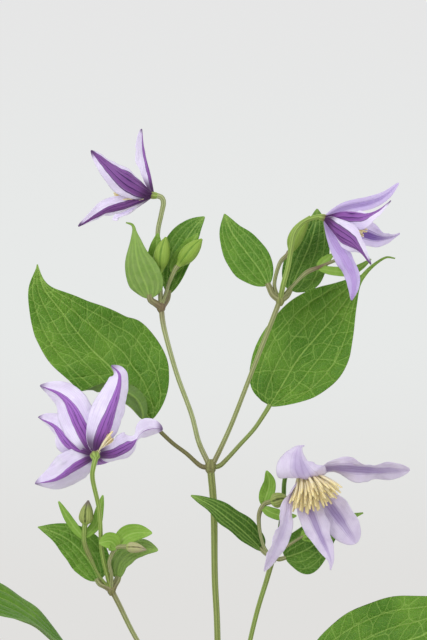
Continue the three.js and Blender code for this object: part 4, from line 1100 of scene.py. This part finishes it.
sepal_skin, place = new_material("sepal", 0.55, 0.25, (0.2, 0.002, (1.0, 0.8, 1.0)))
across, up, under, violet = read("across"), read("up"), read("under"), read("violet")
band_half, star, fade_and_painted_shade, wash = read("band"), read("star"), read("fade_and_painted_shade"), read("wash")
cloud, fine = speckle(place, 110.0), speckle(place, 700.0)
edge_way = abs(across)
within = (edge_way + calc("MULTIPLY_ADD", cloud, 0.12, -0.06)) / band_half
band = step(within, 1.15, 0.85) * calc("MINIMUM", violet, 1.0)
lines = step(calc("PINGPONG", within, 0.25), 0.075, 0.01) * step(within, 1.15, 1.05)
rim_veins = calc("PINGPONG", calc("MULTIPLY_ADD", edge_way, 9.0, cloud * 1.2), 0.5)
pale = mixed(step(cloud, 0.3, 0.7), (217, 205, 237), (229, 220, 246))
# Painted shade: the pale is greyed towards a dull lilac grey by the flower's share of painted shade.
pale = mixed(fade_and_painted_shade, pale, mixed(step(cloud, 0.35, 0.65), (188, 177, 201), (204, 194, 216)))
pale = mixed(wash * 0.8, pale, (170, 148, 208))
pale = mixed(step(rim_veins, 0.14, 0.0) * 0.2 * step(violet, 0.0, 0.8), pale, (160, 128, 184))
bright = mixed(step(up, 0.15, 0.6), (124, 44, 150), (154, 92, 186))
bright = mixed(step(violet, 1.0, 2.0), bright, (98, 14, 114))
skin = mixed(band * 0.92, pale, bright)
skin = mixed(lines * violet * 0.75, skin, (70, 34, 98))
skin = mixed(step(up, 0.26, 0.06) * calc("MINIMUM", violet, 0.92), skin, (60, 22, 70))
outer = mixed(step(up, 0.9, 1.0) * violet * 0.7, skin, (88, 60, 104))
starry = step(within, 1.1, 0.5) * step(up, 1.1, 0.6) * 0.9
inner = mixed(starry * calc("MINIMUM", star, 1.0), pale, (102, 62, 150))
inner = mixed(lines * star * 0.6, inner, (96, 60, 130))
cover(mixed(step(under, 0.3, 0.7), inner, outer), fine, 0.00012)


def sepal(flower, data, seed):
    """One sepal's points, faces and fields. Its root is sunk in the boss."""
    boss = Vector(flower["boss"])
    root = boss + (Vector(data["points"][0]) - boss).normalized() * SEPAL_ROOT
    shape = {**SEPAL_FORM, "face": flower["axis"], **flower, **data, "spine": [root, *data["points"]]}
    t, u, width, length, places = blade(shape, 72, 44)
    x, y = u * width, t * length
    wide = shape["band"] * (1 - shape["slim"] * t ** 0.8) * np.clip((shape["ends"] - t) / 0.14, 0.1, 1)
    away = np.abs((np.abs(u) / wide + 0.25) % 0.5 - 0.25) * wide * width
    on_band = np.clip(1.25 - np.abs(u) / wide, 0, 0.4) / 0.4
    ribs = np.exp(-(away / 0.55) ** 2) * on_band * (1 - 0.6 * t)
    edge = np.clip(np.abs(u) * 1.6 - 0.6, 0, 1)
    waves = lumps(y, x * 0.2, 5.5, seed) + 0.3 * lumps(y, x * 0.4, 2.2, seed + 2) - 0.65
    flutter = edge * np.sin(np.pi * t) * waves * shape["flutter"]
    creases = 0.5 * (lumps(x * 2.2, y * 0.5, 2.2, seed + 1) - 0.5)
    places = places + facing(places) * (flutter + creases * np.sin(np.pi * t))[..., None]
    thin = 0.5 * SEPAL_THICKNESS * np.sqrt(1 - np.abs(u) ** 6) * (1 - 0.35 * edge)
    whole = {field: np.full(t.shape, shape[field]) for field in ("violet", "star", "wash", "fade_and_painted_shade")}
    return closed_blade(places, thin, thin + RIB_HEIGHT * ribs, across=u, up=t, band=wide, **whole)


for number, (name, flower) in enumerate(FLOWERS.items()):
    points, faces, fields = [], [], {}
    for k, data in enumerate(flower["sepals"]):
        some, more, values = sepal(flower, data, 200 + 10 * number + k)
        start = sum(len(p) for p in points)
        points.append(some)
        faces += [tuple(start + i for i in face) for face in more]
        for field, column in values.items():
            fields.setdefault(field, []).append(column)
    fields = {field: np.concatenate(columns) for field, columns in fields.items()}
    piece = mesh_piece(name + "_sepals", np.vstack(points), faces, sepal_skin, **fields)
    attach(piece, "root")
    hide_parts(name + "_sepals")


# Stamens: a tuft of flat cream filaments, brownish in the shade between them, each with a slim
# anther at its end, set in a spiral on the dome of the boss.
GOLDEN_ANGLE = 2.39996
stamen_skin, place = new_material("stamen", 0.6, flesh=(0.2, 0.001, (1.0, 0.9, 0.5)))
up = read("up")
cream = mixed(read("tone"), (242, 232, 200), (222, 206, 164))
cream = mixed(step(up, 0.35, 0.0), cream, (206, 204, 150))
cover(mixed(step(up, 0.68, 0.8), cream, (238, 222, 170)))

tuft_tree, given = new_growth("stamens", Count="Int", Length="Float", Spread="Float",
                              Dome="Float", Seed="Int")
number = add("GeometryNodeInputIndex")
share = calc("SQRT", (number + 0.5) / given["Count"])
angle = number * GOLDEN_ANGLE
east, north = calc("COSINE", angle), calc("SINE", angle)
reach = share * given["Dome"]
root = add("ShaderNodeCombineXYZ", reach * east, reach * north, reach * share * -0.5)
set_out = add("GeometryNodeSetPosition", add("GeometryNodePoints", given["Count"]), None, root)
lean = share * given["Spread"] * chance(0.85, 1.15, 3)
sway = calc("SINE", lean)
heads = add("ShaderNodeCombineXYZ", sway * east, sway * north, calc("COSINE", lean))
aimed = add("FunctionNodeAlignRotationToVector", Vector=heads, axis="Z")

end = add("ShaderNodeCombineXYZ", 0.0, 0.0, given["Length"])
straight = add("GeometryNodeResampleCurve", add("GeometryNodeCurvePrimitiveLine", End=end), Count=12)
along = add("GeometryNodeSplineParameter")
bow = calc("SINE", along * 3.0) * (given["Length"] * 0.06)
bowed = add("GeometryNodeSetPosition", straight, Offset=add("ShaderNodeCombineXYZ", bow, 0.0, 0.0))
kept = add("GeometryNodeStoreNamedAttribute", bowed, None, "up", along)
thread = calc("MULTIPLY_ADD", calc("SINE", along * 2.9), 0.6 * MM, 0.4 * MM)
ring = add("GeometryNodeCurvePrimitiveCircle", Resolution=6, Radius=1.0)
pressed = add("GeometryNodeTransform", ring, Scale=(0.55, 1.0, 1.0))
filament = add("GeometryNodeCurveToMesh", Curve=kept, Profile_Curve=pressed, Scale=thread, Fill_Caps=True)
planted = add("GeometryNodeInstanceOnPoints", Points=set_out, Rotation=aimed,
              Instance=add("GeometryNodeSetShadeSmooth", filament), Scale=chance(0.82, 1.05, given["Seed"]))
tone = chance(0.0, 1.0, 5)
toned = add("GeometryNodeStoreNamedAttribute", planted, None, "tone", tone, domain="INSTANCE")
close_growth(toned, stamen_skin)

for seed, (name, flower) in enumerate(FLOWERS.items()):
    tuft = flower["tuft"]
    piece = mesh_piece(name + "_stamens", [(0, 0, 0)], [], stamen_skin, False)
    grown(piece, tuft_tree, Count=tuft["count"], Length=tuft["length"] * MM, Spread=tuft["spread"],
          Dome=tuft["dome"] * MM, Seed=seed)
    ahead = Vector(tuft.get("aim", flower["axis"])).normalized()
    foot = Vector(flower["boss"]) + ahead * (BOSS_FRONT - 0.4)
    piece.data.transform(Matrix.Translation(foot * MM) @ ahead.to_track_quat("Z", "Y").to_matrix().to_4x4())
    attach(piece, "root")
    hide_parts(name + "_stamens")
